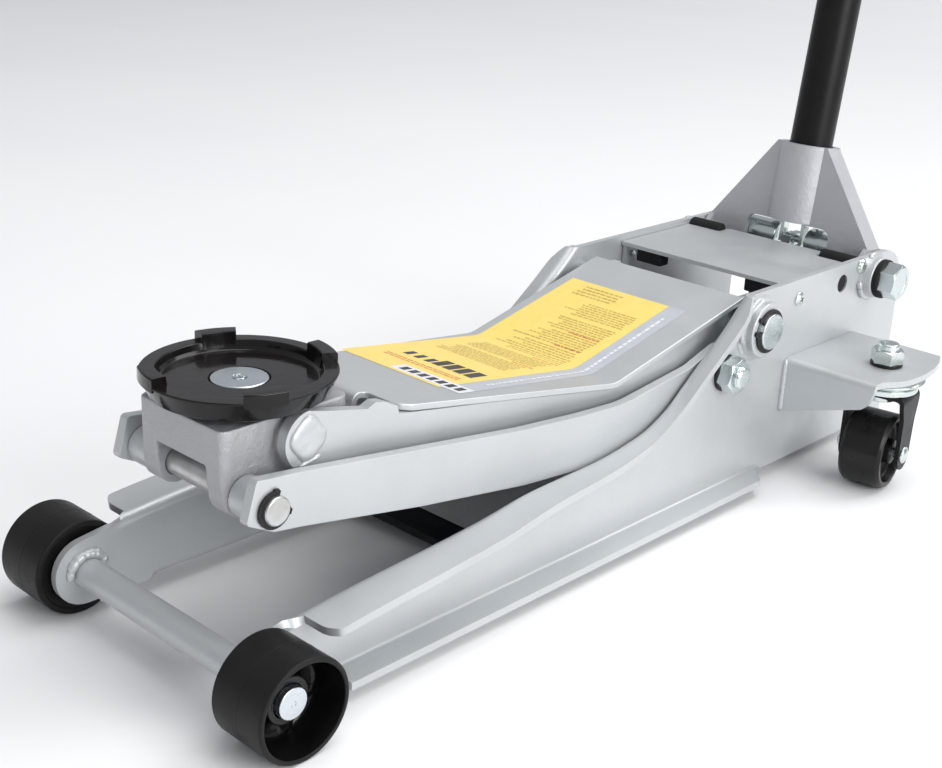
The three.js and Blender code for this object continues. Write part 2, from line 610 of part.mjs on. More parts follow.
// ---------------------------------------------------------------- handle yoke, in its own leaning frame
// The yoke's frame has its origin on the handle bolts' axis and its z axis along the handle.
function yokeShape() {
  const { webY, t, halfW, halfTop, foot, shoulder, depth } = YOKE;
  const { top } = SOCKET;
  const web = [
    [-halfW, foot], [-39, foot], [-39, 19], [-33, 26], [33, 26], [39, 19], [39, foot], [halfW, foot],
    [halfW, shoulder], [halfTop, top], [-halfTop, top], [-halfW, shoulder],
  ];
  const wing = [[halfW - t, foot], [halfW, foot], [halfW, shoulder], [halfTop, top], [halfTop - t - 1, top],
    [halfW - t, shoulder - 1.5]];
  const ear = [
    ...arc(0, 0, 12.5, 100, 290, 8), [22, -6], ...arc(24, 6, 9, -70, 40, 4), [webY + depth, shoulder + 2], [webY, shoulder + 2],
  ];
  const side = facing(wing, webY, webY + depth);
  const earPlate = sidewise(ear, halfW - t, halfW);
  const bolt = rodX(HANDLE_BOLT.r + GAP, 50, 90, 0, 0);
  const pin = rodX(6 + GAP, 50, 90, ROLLER.y, ROLLER.z, 12);
  return cutBy(
    joined(
      facing(web, webY, webY + t), side, mirrorX(side), earPlate, mirrorX(earPlate),
      rodZ(SOCKET.r, SOCKET.bottom, top, 0, SOCKET.y, 20),
    ),
    rodZ(SOCKET.bore, 0, top + 20, 0, SOCKET.y, 20), bolt, mirrorX(bolt), pin, mirrorX(pin),
  );
}

function pumpRoller() {
  const end = YOKE.halfW - 0.5;
  return turnedX([
    [0, ROLLER.inX], [ROLLER.r - 1, ROLLER.inX], [ROLLER.r, ROLLER.inX + 1], [ROLLER.r, ROLLER.outX - 1],
    [ROLLER.r - 1, ROLLER.outX], [6, ROLLER.outX], [6, end], [0, end],
  ], 16).translate(0, ROLLER.y, ROLLER.z);
}

function jointFork(towards) {
  const prong = box(8, 11, -4, 4, -4, 14);
  const fork = joined(rodZ(9.6, 13, 15.6, 0, 0), prong, mirrorX(prong));
  return towards > 0 ? fork : fork.rotate([180, 0, 90]);
}

function handleDrive() {
  const cap = turnedZ([
    [0, 15], [9.6, 15], [9.6, 16.6], [HANDLE.r - 0.6, 16.6], [HANDLE.r - 0.6, HANDLE.plugZ - JOINT.z - GAP],
    [HANDLE.bore - GAP, HANDLE.plugZ - JOINT.z - GAP], [HANDLE.bore - GAP, 44], [0, 44],
  ], 16);
  return jointFork(1).add(solid(cap)).translate([0, SOCKET.y, JOINT.z]);
}

// The shaft below the universal joint's centre, with the joint's cross. It slides in the release valve's cup.
function driveShaft() {
  const cross = joined(rodX(3.2, -6.8, 6.8, 0, 0, 10), rodY(3.2, -9, 9, 0, 0, 10), box(-4.6, 4.6, -4.6, 4.6, -4.6, 4.6));
  return jointFork(-1).add(solid(rodZ(5, -46, -13.5, 0, 0))).add(cross);
}

function handleLower() {
  const { r, bore, lowerTop, plugZ } = HANDLE;
  return turnedZ([[bore, plugZ], [r, plugZ], [r, lowerTop], [bore, lowerTop], [bore, plugZ]], 20)
    .translate(0, SOCKET.y, 0);
}

function handleUpper() {
  const { r, bore, lowerTop, upperTop } = HANDLE;
  const neck = lowerTop + GAP;
  const outer = bore - GAP;
  return turnedZ([
    [outer - 2.2, lowerTop - 90], [outer, lowerTop - 90], [outer, neck], [r, neck], [r, upperTop], [r - 2.2, upperTop],
    [r - 2.2, neck + 4], [outer - 2.2, neck], [outer - 2.2, lowerTop - 90],
  ], 20).translate(0, SOCKET.y, 0);
}

function grip() {
  const { r, upperTop } = HANDLE;
  const inner = r + GAP;
  return turnedZ([
    [0, upperTop + GAP], [inner, upperTop + GAP], [inner, upperTop - 130], [20, upperTop - 130], [21, upperTop - 124],
    [21, upperTop], [18.5, upperTop + 4], [0, upperTop + 5],
  ], 20).translate(0, SOCKET.y, 0);
}

function handle() {
  const yoke = new THREE.Group();
  yoke.position.set(0, HANDLE_BOLT.y, HANDLE_BOLT.z);
  yoke.rotation.x = -LEAN * RAD;
  assembly.add(yoke);
  add('handle_yoke', yokeShape(), paint, yoke);
  const roller = pumpRoller();
  add('pump_roller_left', roller, zinc, yoke);
  add('pump_roller_right', mirrorX(roller), zinc, yoke);
  add('handle_drive', handleDrive(), zinc, yoke);
  add('handle_tube_lower', handleLower(), satinBlack, yoke);
  add('handle_tube_upper', handleUpper(), satinBlack, yoke);
  add('handle_grip', grip(), rubber, yoke);

  const lean = LEAN * RAD;
  const centreZ = HANDLE_BOLT.z - SOCKET.y * Math.sin(lean) + JOINT.z * Math.cos(lean);
  add('drive_shaft', driveShaft().translate([0, VALVE.y, centreZ]), zinc);
}

chassis();
addPair('front_wheel', frontWheel(), satinBlack);
casters();
fittings();
arm();
saddleGroup();
hydraulics();
handle();

export default assembly;
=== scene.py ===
"""The looks of a low-profile trolley jack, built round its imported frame.

Sizes are in millimetres, with Y measured from the front axle as the jack's maker would, and are turned
into the frame's metres when a mesh is made. The left side is +X.
"""
import math
import bmesh
import bpy
from mathutils import Matrix, Vector, noise


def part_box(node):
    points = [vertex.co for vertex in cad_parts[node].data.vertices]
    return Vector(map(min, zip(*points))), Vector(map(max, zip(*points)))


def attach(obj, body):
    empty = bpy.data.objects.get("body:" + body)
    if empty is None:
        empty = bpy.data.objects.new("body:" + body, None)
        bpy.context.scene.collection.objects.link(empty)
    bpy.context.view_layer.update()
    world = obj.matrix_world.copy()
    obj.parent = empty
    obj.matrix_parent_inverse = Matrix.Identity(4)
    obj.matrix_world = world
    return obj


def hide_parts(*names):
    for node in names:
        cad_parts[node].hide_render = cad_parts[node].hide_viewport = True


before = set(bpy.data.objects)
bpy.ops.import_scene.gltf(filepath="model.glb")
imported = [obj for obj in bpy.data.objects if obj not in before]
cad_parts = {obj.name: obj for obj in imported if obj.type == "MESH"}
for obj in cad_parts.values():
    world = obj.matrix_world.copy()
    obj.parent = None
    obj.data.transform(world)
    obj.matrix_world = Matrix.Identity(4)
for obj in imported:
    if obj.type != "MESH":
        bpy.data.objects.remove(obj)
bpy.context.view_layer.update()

MM = 0.001


def centre_of(node):
    low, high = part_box(node)
    return (low + high) / 2 / MM


SIDES = (("left", 1), ("right", -1))
AXLE_Y = centre_of("front_axle").y  # the front axle, in the frame
AXLE_Z = centre_of("front_axle").z
AXLE_END = 113.6
PLATE_IN, PLATE_T = 77.2, 5.0
PLATE_OUT = PLATE_IN + PLATE_T

# Centres on the jack's side, as (y, z).
PIVOT = (456.5, 128.4)
UPPER_PIN = (64.7, 138.5)
LOWER_PIN = (29.0, 112.5)
ROD_BOLT = (420.8, 102.4)
HANDLE_BOLT = (614.6, 138.5)
BUMPER = (598.5, 149.0)
PLUG = (573.5, 139.3)

SADDLE_Y = 55.6
CASTER = (140.0, 549.0)  # the left kingpin, as (x, y)
CASTER_TRAIL, CASTER_TURN, CASTER_R = 2.5, 8.5, 29.2
LEAN = 7.5  # of the handle at rest, in degrees to the rear
SOCKET_Y = 16.4
VALVE_Y, JOINT_Z = 632.0, 12.0
LOWER_R = 8.5
PUMP_X, PUMP_Y, RAM_Z = 24.0, 632.5, 77.0


# ---------------------------------------------------------------- outlines and shells
def fillet(points, radius=0.0, steps=5, closed=True):
    """A polygon with rounded corners. A point's third number is its own corner radius."""
    out = []
    count = len(points)
    for i, point in enumerate(points):
        here = Vector(point[:2])
        r = point[2] if len(point) > 2 else radius
        if r <= 0 or (not closed and i in (0, count - 1)):
            out.append(tuple(here))
            continue
        before = Vector(points[i - 1][:2]) - here
        after = Vector(points[(i + 1) % count][:2]) - here
        half = before.angle(after) / 2
        if half > math.radians(89):
            out.append(tuple(here))
            continue
        reach = min(r / math.tan(half), 0.49 * before.length, 0.49 * after.length)
        r = reach * math.tan(half)
        middle = here + (before.normalized() + after.normalized()).normalized() * (r / math.sin(half))
        start = here + before.normalized() * reach - middle
        end = here + after.normalized() * reach - middle
        turn = math.atan2(start.x * end.y - start.y * end.x, start.dot(end))
        for k in range(steps + 1):
            a = turn * k / steps
            ca, sa = math.cos(a), math.sin(a)
            out.append((middle.x + start.x * ca - start.y * sa, middle.y + start.x * sa + start.y * ca))
    return out


def arc(cu, cv, r, start, end, steps=10):
    angles = [math.radians(start + (end - start) * i / steps) for i in range(steps + 1)]
    return [(cu + r * math.cos(a), cv + r * math.sin(a)) for a in angles]


def on_axis(axis, u, v, w):
    """A point u, v in a plane across the axis, w along it. X: (y, z), Y: (x, z), Z: (x, y)."""
    return {"X": (w, u, v), "Y": (u, w, v), "Z": (u, v, w)}[axis]


def prism(axis, outline, low, high):
    n = len(outline)
    verts = [on_axis(axis, u, v, w) for w in (low, high) for u, v in outline]
    faces = [list(range(n)), list(range(n, 2 * n))]
    faces += [[i, (i + 1) % n, n + (i + 1) % n, n + i] for i in range(n)]
    return verts, faces


def box(x0, x1, y0, y1, z0, z1):
    return prism("Z", [(x0, y0), (x1, y0), (x1, y1), (x0, y1)], z0, z1)


def lathe(axis, profile, centre=(0.0, 0.0), segments=64, start=0.0, sweep=360.0):
    """A closed (radius, place along the axis) profile turned about an axis through centre."""
    n = len(profile)
    whole = abs(sweep) >= 360
    rings = segments if whole else segments + 1
    verts = []
    for k in range(rings):
        a = math.radians(start + sweep * k / segments)
        for r, t in profile:
            verts.append(on_axis(axis, centre[0] + r * math.cos(a), centre[1] + r * math.sin(a), t))
    faces = []
    for k in range(segments):
        near, far = k * n, ((k + 1) % rings) * n
        faces += [[near + i, near + (i + 1) % n, far + (i + 1) % n, far + i] for i in range(n)]
    if not whole:
        faces += [list(range(n)), list(range(segments * n, segments * n + n))]
    return verts, faces


def turned(axis, profile, centre=(0.0, 0.0), segments=64, steps=5, **sweep):
    """A profile with rounded corners, turned about an axis through centre."""
    return lathe(axis, fillet(profile, steps=steps), centre, segments, **sweep)


def rod(axis, r, low, high, centre=(0.0, 0.0), edge=0.0, segments=64):
    profile = [(0, low), (r, low, edge), (r, high, edge), (0, high)]
    return turned(axis, profile, centre, segments, steps=3)


def hexagon(flats, turn=0.0):
    return [p[:2] for p in arc(0, 0, flats / math.sqrt(3), turn, turn + 300, 5)]


def hex_nut(axis, flats, low, high, centre, turn=0.0):
    """A hexagon whose outer corners are turned down to a cone, as on a nut or a bolt's head."""
    outline = [(u + centre[0], v + centre[1]) for u, v in hexagon(flats, turn)]
    tip = flats / math.sqrt(3)
    face = flats * 0.485
    drop = (tip - face) * 0.55
    cone = [(0, low - 1), (tip + 1, low - 1), (tip + 1, high - drop - 0.6), (face, high), (0, high)]
    return prism(axis, outline, low, high), lathe(axis, cone, centre, 72)


def threads(axis, r, low, high, centre, pitch=1.6, crest=1.2):
    """A rod whose surface is cut in rings, as a screw's thread looks."""
    profile = [(0, low)]
    t = low
    while t < high - crest:
        profile += [(r - 0.75, t), (r, t + pitch / 2)]
        t += pitch
    profile += [(r - 0.75, t), (r - 1.6, high), (0, high)]
    return lathe(axis, profile, centre, 48)


def moved(shell, matrix):
    return [tuple(matrix @ Vector(p)) for p in shell[0]], shell[1]


def together(*shells):
    verts, faces = [], []
    for v, f in shells:
        faces += [[i + len(verts) for i in face] for face in f]
        verts += v
    return verts, faces


def mirrored(shell):
    return [(-x, y, z) for x, y, z in shell[0]], [face[::-1] for face in shell[1]]


def surface(rows):
    """Quads between rows of points. A missing point (None) leaves a hole."""
    verts, index, faces = [], {}, []
    for i, row in enumerate(rows):
        for j, p in enumerate(row):
            if p is not None:
                index[i, j] = len(verts)
                verts.append(p)
    for i in range(len(rows) - 1):
        for j in range(len(rows[0]) - 1):
            corners = [(i, j), (i, j + 1), (i + 1, j + 1), (i + 1, j)]
            if all(c in index for c in corners):
                faces.append([index[c] for c in corners])
    return verts, faces


# ---------------------------------------------------------------- pieces
def to_mesh(shell, fix_normals):
    verts, faces = shell
    mesh = bpy.data.meshes.new("part")
    mesh.from_pydata([(x * MM, (y + AXLE_Y) * MM, z * MM) for x, y, z in verts], [], faces)
    bm = bmesh.new()
    bm.from_mesh(mesh)
    bmesh.ops.remove_doubles(bm, verts=bm.verts, dist=2e-6)
    bmesh.ops.dissolve_degenerate(bm, edges=bm.edges, dist=1e-7)
    if fix_normals:
        bmesh.ops.recalc_face_normals(bm, faces=bm.faces)
    bm.to_mesh(mesh)
    bm.free()
    return mesh


def new_object(shell, fix_normals=True):
    obj = bpy.data.objects.new("part", to_mesh(shell, fix_normals))
    bpy.context.scene.collection.objects.link(obj)
    return obj


def settle(obj):
    """Applies an object's modifiers."""
    graph = bpy.context.evaluated_depsgraph_get()
    mesh = bpy.data.meshes.new_from_object(obj.evaluated_get(graph))
    obj.modifiers.clear()
    old = obj.data
    obj.data = mesh
    mesh.name = obj.name
    bpy.data.meshes.remove(old)


def boolean(obj, operation, shells):
    for shell in shells:
        tool = new_object(shell)
        step = obj.modifiers.new("cut", "BOOLEAN")
        step.operation = operation
        step.object = tool
        step.solver = "MANIFOLD"
        settle(obj)
        mesh = tool.data
        bpy.data.objects.remove(tool)
        bpy.data.meshes.remove(mesh)


def carved(base, join=(), keep=(), cut=()):
    obj = new_object(base)
    boolean(obj, "UNION", join)
    boolean(obj, "INTERSECT", keep)
    boolean(obj, "DIFFERENCE", cut)
    return obj


def rounded(obj, width, segments=2, angle=30):
    step = obj.modifiers.new("round", "BEVEL")
    step.width = width * MM
    step.segments = segments
    step.limit_method = "ANGLE"
    step.angle_limit = math.radians(angle)
    step.miter_outer = "MITER_ARC"
    settle(obj)


PIECES = []


def piece(name, shape, body, look, nodes=(), edge=0.0, segments=2, smooth=38):
    """Finishes a shell or an object: rounds its edges, gives it its look and sets it on a body."""
    obj = shape if isinstance(shape, bpy.types.Object) else new_object(shape)
    obj.name = name
    if edge:
        rounded(obj, edge, segments)
    obj.data.shade_smooth()
    obj.data.set_sharp_from_angle(angle=math.radians(smooth))
    obj.data.materials.clear()
    obj.data.materials.append(look)
    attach(obj, body)
    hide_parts(*nodes)
    PIECES.append(obj)
    return obj


def stand_in(node, shape, body, look, **finish):
    """A piece that replaces one node of the frame."""
    return piece(f"{node}_look", shape, body, look, [node], **finish)


def flatten_faces():
    """Lets the large faces rule the shading, so that flat faces look flat beside their rounded edges."""
    for obj in PIECES:
        step = obj.modifiers.new("flat", "WEIGHTED_NORMAL")
        step.keep_sharp = True
        step.weight = 80
        settle(obj)


def mirror_image(obj):
    mesh = obj.data.copy()
    mesh.transform(Matrix.Scale(-1, 4, (1, 0, 0)))
    mesh.flip_normals()
    twin = bpy.data.objects.new("part", mesh)
    bpy.context.scene.collection.objects.link(twin)
    return twin


def pair(name, shape, look, body="chassis", nodes=None, **finish):
    """A left piece and its mirror image. {} in a node's or a body's name stands for the side."""
    nodes = (name + "_{}",) if nodes is None else nodes
    for side, sign in SIDES:
        if sign < 0:
            shape, finish = mirror_image(obj), {}
        own = [node.format(side) for node in nodes]
        obj = piece(f"{name}_{side}_look", shape, body.format(side), look, own, **finish)


def weld(name, path, r, body="chassis", lump=4.2, waver=0.10):
    """A weld bead: a scalloped, slightly uneven tube along a path of points."""
    points = [Vector(p) for p in path]
    lengths = [0.0]
    for a, b in zip(points, points[1:]):
        lengths.append(lengths[-1] + (b - a).length)
    steps = max(12, int(lengths[-1] / 0.9))
    centres = []
    for k in range(steps + 1):
        s = lengths[-1] * k / steps
        i = max(j for j in range(len(lengths)) if lengths[j] <= s + 1e-6)
        i = min(i, len(points) - 2)
        gap = max(lengths[i + 1] - lengths[i], 1e-6)
        centres.append(points[i].lerp(points[i + 1], (s - lengths[i]) / gap))
    rings = []
    sides = 14
    for k, c in enumerate(centres):
        ahead, behind = centres[min(k + 1, steps)], centres[max(k - 1, 0)]
        along = (ahead - behind).normalized()
        side = along.orthogonal() if abs(along.z) > 0.9 else along.cross(Vector((0, 0, 1)))
        side.normalize()
        up = side.cross(along)
        ripple = abs(math.sin(math.pi * (lengths[-1] * k / steps) / lump))
        size = r * (0.86 + 0.16 * ripple + waver * noise.noise(c * 0.21))
        size *= min(1.0, 0.35 + 0.22 * min(k, steps - k))
        ring = []
        for j in range(sides):
            a = 2 * math.pi * j / sides
            p = c + (side * math.cos(a) + up * math.sin(a)) * size
            ring.append(tuple(p + Vector.Fill(3, 0.10) * noise.noise(p * 0.7)))
        rings.append(ring)
    verts = [p for ring in rings for p in ring]
    n = len(rings)
    faces = []
    for k in range(n - 1):
        a, b = k * sides, (k + 1) * sides
        faces += [[a + j, a + (j + 1) % sides, b + (j + 1) % sides, b + j] for j in range(sides)]
    faces += [list(range(sides)), list(range((n - 1) * sides, n * sides))]
    piece(name, (verts, faces), body, SILVER, smooth=80)


def weld_pair(name, path, r, body="chassis", **finish):
    """The same bead on both sides of the jack, from its path on the left."""
    for side, sign in SIDES:
        weld(f"{name}_{side}", [(sign * x, y, z) for x, y, z in path], r, body, **finish)


class Nodes:
    """A short way to write a material's node tree."""

    def __init__(self, name, slot=None):
        self.material = bpy.data.materials.new(name)
        self.material.use_nodes = True
        self.tree = self.material.node_tree
        self.shader = self.tree.nodes["Principled BSDF"]
        self.place = self.tree.nodes.new("ShaderNodeTexCoord").outputs["Object"]

    def add(self, kind, **values):
        node = self.tree.nodes.new("ShaderNode" + kind)
        for key, value in values.items():
            if hasattr(node, key):
                setattr(node, key, value)
            else:
                node.inputs[key.replace("_", " ")].default_value = value
        return node

    def link(self, source, node, socket):
        self.tree.links.new(source, node.inputs[socket])
        return node

    def set(self, **values):
        for key, value in values.items():
            self.shader.inputs[key.replace("_", " ")].default_value = value

    def noise(self, scale, detail=3.0, roughness=0.55, stretch=(1, 1, 1)):
        spread = self.add("Mapping", Scale=stretch)
        self.link(self.place, spread, "Vector")
        node = self.add("TexNoise", Scale=scale, Detail=detail, Roughness=roughness)
        self.link(spread.outputs[0], node, "Vector")
        return node.outputs["Fac"]

    def cells(self, scale):
        node = self.add("TexVoronoi", Scale=scale)
        self.link(self.place, node, "Vector")
        return node.outputs["Distance"]

    def spread(self, value, low, high, start=0.3, end=0.7):
        node = self.add("MapRange")
        for socket, number in zip(("From Min", "From Max", "To Min", "To Max"), (start, end, low, high)):
            node.inputs[socket].default_value = number
        self.link(value, node, "Value")
        return node.outputs[0]

    def blend(self, factor, a, b, mode="MIX"):
        node = self.add("Mix", data_type="RGBA", blend_type=mode)
        for socket, value in ((0, factor), (6, a), (7, b)):
            if isinstance(value, tuple):
                node.inputs[socket].default_value = (*value, 1.0)
            elif isinstance(value, float):
                node.inputs[socket].default_value = value
            else:
                self.tree.links.new(value, node.inputs[socket])
        return node.outputs[2]

    def bump(self, height, depth, strength=1.0, under=None):
        """A bump whose full height is depth, in millimetres."""
        node = self.add("Bump", Strength=strength, Distance=depth * MM)
        self.link(height, node, "Height")
        if under:
            self.link(under, node, "Normal")
        return node.outputs[0]


def enamel(name, slot, colour, shade, rough, grain, peel):
    """Sprayed metallic enamel: fine flake, slow drifts of tone, a trace of orange peel and cast grain."""
    n = Nodes(name, slot)
    drift = n.noise(14.0, 4.0)
    flake = n.noise(3400.0, 1.0)
    tone = n.blend(n.spread(drift, 0.0, 1.0), shade, colour)
    tone = n.blend(n.spread(flake, 0.0, 0.16), tone, (0.93, 0.94, 0.96))
    n.link(tone, n.shader, "Base Color")
    n.link(n.spread(n.noise(46.0, 5.0), rough - 0.05, rough + 0.07), n.shader, "Roughness")
    bump = n.bump(n.noise(620.0, 2.0), peel)
    if grain:
        bump = n.bump(n.noise(900.0, 4.0, 0.7), grain, under=bump)
        bump = n.bump(n.noise(170.0, 3.0), grain * 1.6, under=bump)
    n.link(bump, n.shader, "Normal")
    n.set(Metallic=0.45, Coat_Weight=0.15, Coat_Roughness=0.22)
    return n.material


def plated(name, colour, tint, rough, stretch=(1, 1, 1), slot="zinc"):
    """Bright zinc plate, slightly uneven in hue, with a faint brushed or turned grain."""
    n = Nodes(name, slot)
    tone = n.blend(n.spread(n.noise(55.0, 3.0), 0.0, 1.0), colour, tint)
    tone = n.blend(n.spread(n.noise(420.0, 4.0), 0.0, 0.10), tone, (0.30, 0.32, 0.34))
    n.link(tone, n.shader, "Base Color")
    n.link(n.spread(n.noise(130.0, 4.0), rough - 0.03, rough + 0.05), n.shader, "Roughness")
    grain = n.noise(260.0, 3.0, stretch=stretch)
    n.link(n.bump(grain, 0.008), n.shader, "Normal")
    n.set(Metallic=1.0)
    return n.material


def black(name, slot, colour, light, rough, spread, grain, grain_scale, coat=0.0, runs=0.0):
    """Black paint or moulding. Grain is its surface texture, runs the slow waves of thick paint."""
    n = Nodes(name, slot)
    tone = n.blend(n.spread(n.noise(30.0, 4.0), 0.0, 1.0), colour, light)
    n.link(tone, n.shader, "Base Color")
    n.link(n.spread(n.noise(75.0, 5.0), rough, rough + spread), n.shader, "Roughness")
    bump = n.bump(n.noise(grain_scale, 3.0), grain)
    if runs:
        bump = n.bump(n.noise(95.0, 2.0), runs, under=bump)
    n.link(bump, n.shader, "Normal")
    n.set(Coat_Weight=coat, Coat_Roughness=0.06, Coat_IOR=1.35, Specular_IOR_Level=0.2)
    return n.material


def print_ink(name, colour, light, rough):
    """Glossy ink, slightly uneven in tone, with a faint grain."""
    n = Nodes(name, "silver_paint")
    n.link(n.blend(n.spread(n.noise(90.0, 3.0), 0.0, 1.0), colour, light), n.shader, "Base Color")
    n.link(n.spread(n.noise(60.0, 2.0), rough, rough + 0.08), n.shader, "Roughness")
    n.link(n.bump(n.noise(700.0, 2.0), 0.01), n.shader, "Normal")
    return n.material


SILVER = enamel("silver_enamel", "silver_paint", (0.54, 0.56, 0.572), (0.495, 0.515, 0.527), 0.40, 0.0, 0.02)
CAST = enamel("cast_silver", "cast_paint", (0.46, 0.47, 0.485), (0.39, 0.40, 0.42), 0.42, 0.55, 0.03)
YOKE_CAST = enamel("yoke_silver", "silver_paint", (0.47, 0.48, 0.505), (0.42, 0.43, 0.455), 0.44, 0.30, 0.03)
ZINC = plated("zinc_plate", (0.70, 0.76, 0.79), (0.66, 0.71, 0.66), 0.24)
TURNED_ZINC = plated("turned_zinc", (0.72, 0.78, 0.80), (0.62, 0.68, 0.66), 0.26, stretch=(0.2, 1, 1))
AXLE_ZINC = plated("axle_zinc", (0.72, 0.78, 0.84), (0.74, 0.77, 0.80), 0.26)
SCREW_ZINC = plated("screw_zinc", (0.72, 0.77, 0.81), (0.66, 0.72, 0.76), 0.33, stretch=(1, 1, 0.2))
STEEL = plated("oiled_steel", (0.42, 0.38, 0.34), (0.30, 0.25, 0.21), 0.34, slot="steel")
PIN_STEEL = plated("pin_steel", (0.68, 0.71, 0.73), (0.50, 0.48, 0.45), 0.34, slot="steel")
SADDLE_PAINT = black("saddle_black", "saddle_black", (0.006, 0.0055, 0.0055), (0.011, 0.009, 0.009),
                     0.10, 0.10, 0.02, 500.0, coat=0.35, runs=0.25)
SATIN = black("satin_black", "satin_black", (0.007, 0.007, 0.0075), (0.012, 0.012, 0.013), 0.36, 0.10, 0.02, 900.0)
TREAD = black("wheel_tread", "wheel_black", (0.007, 0.0065, 0.0065), (0.013, 0.012, 0.012), 0.36, 0.14, 0.03, 1100.0)
MOULDED = black("wheel_dish", "wheel_black", (0.004, 0.004, 0.0045), (0.009, 0.009, 0.0095),
                0.14, 0.12, 0.22, 520.0, coat=0.5)
RUBBER = black("black_rubber", "rubber", (0.010, 0.010, 0.0105), (0.020, 0.020, 0.021), 0.62, 0.14, 0.05, 1400.0)
DARK_STEEL = black("black_steel", "zinc", (0.012, 0.012, 0.0125), (0.028, 0.026, 0.026), 0.30, 0.15, 0.03, 700.0)
CASTER_BLACK = black("caster_black", "caster_black", (0.007, 0.007, 0.0075), (0.015, 0.014, 0.014),
                     0.24, 0.20, 0.05, 800.0, coat=0.2)
TUBE_BLACK = black("tube_black", "satin_black", (0.006, 0.006, 0.0065), (0.010, 0.0095, 0.010),
                   0.30, 0.08, 0.02, 900.0)
DECAL_YELLOW = print_ink("decal_yellow", (0.93, 0.72, 0.20), (0.90, 0.68, 0.17), 0.30)
DECAL_GREY = print_ink("decal_grey", (0.52, 0.54, 0.58), (0.48, 0.50, 0.55), 0.28)
DECAL_WHITE = print_ink("decal_white", (0.80, 0.81, 0.83), (0.76, 0.77, 0.80), 0.30)
DECAL_OCHRE = print_ink("decal_ochre", (0.62, 0.46, 0.12), (0.52, 0.38, 0.10), 0.35)
DECAL_RED = print_ink("decal_red", (0.72, 0.24, 0.10), (0.62, 0.19, 0.08), 0.35)
DECAL_DARK = print_ink("decal_dark", (0.030, 0.028, 0.035), (0.050, 0.045, 0.050), 0.35)


# ---------------------------------------------------------------- side plates
def smooth_curve(points):
    """A curve through (y, z) points without overshoot, as a function of y."""
    ys = [p[0] for p in points]
    zs = [p[1] for p in points]
    slope = [(zs[i + 1] - zs[i]) / (ys[i + 1] - ys[i]) for i in range(len(points) - 1)]
    between = [0 if a * b <= 0 else 2 * a * b / (a + b) for a, b in zip(slope, slope[1:])]
    tangent = [slope[0]] + between + [slope[-1]]

    def at(y):
        i = min(max(sum(1 for v in ys[1:-1] if v <= y), 0), len(slope) - 1)
        h = ys[i + 1] - ys[i]
        t = min(max((y - ys[i]) / h, 0.0), 1.0)
        a = (1 + 2 * t) * (1 - t) ** 2 * zs[i] + t * (1 - t) ** 2 * h * tangent[i]
        return a + t * t * (3 - 2 * t) * zs[i + 1] + t * t * (t - 1) * h * tangent[i + 1]

    return at


CREST = smooth_curve([
    (-3.6, 50.7), (17, 53.7), (31.5, 57.2), (167, 66.8), (221, 72.5), (280, 74), (327, 80), (356, 91), (375, 104.5),
    (394, 118.5), (408, 128.5), (420, 137.7), (430, 146.3), (439.5, 154.5), (450, 163.5), (466, 166),
])
TOP_EDGE = smooth_curve([(31, 106), (38, 109), (160, 107), (318, 96), (360, 92), (422, 92), (430, 91), (440, 85.5)])
BEND = 7.0  # outer radius of the folds between the web and its flanges
NOSE_R = 21.0
TOP_FLANGE = (31.5, 440.0)
LOW_FLANGE = (52.0, 473.0)
PLATE_LOW, PLATE_TOP, PLATE_REAR = 9.0, 154.5, 667.5
TAIL = (637.0, 124.0, 30.5)


def ease(t):
    t = min(max(t, 0.0), 1.0)
    return t * t * (3 - 2 * t)


def plate_stations():
    nose = [-NOSE_R * math.cos(math.radians(a)) for a in range(0, 81, 10)]
    start, end = TOP_FLANGE
    corner = [start + 8 * (1 - math.cos(math.radians(a))) for a in range(0, 91, 15)]
    run = [start + 8 + k * 6 for k in range(1, 68)]
    tail = [TAIL[0] + TAIL[2] * math.cos(math.radians(a)) for a in range(90, -1, -9)]
    fixed = [0, 6, 12, 17, 22, 26, 29, 45, LOW_FLANGE[0], end, 449, 453, 457, 461, 465, 469, LOW_FLANGE[1], 478, 485]
    spread = [500, 530, 560, 590, 620, 628]
    return sorted(set(round(y, 3) for y in nose + corner + run + tail + fixed + spread if y <= PLATE_REAR))


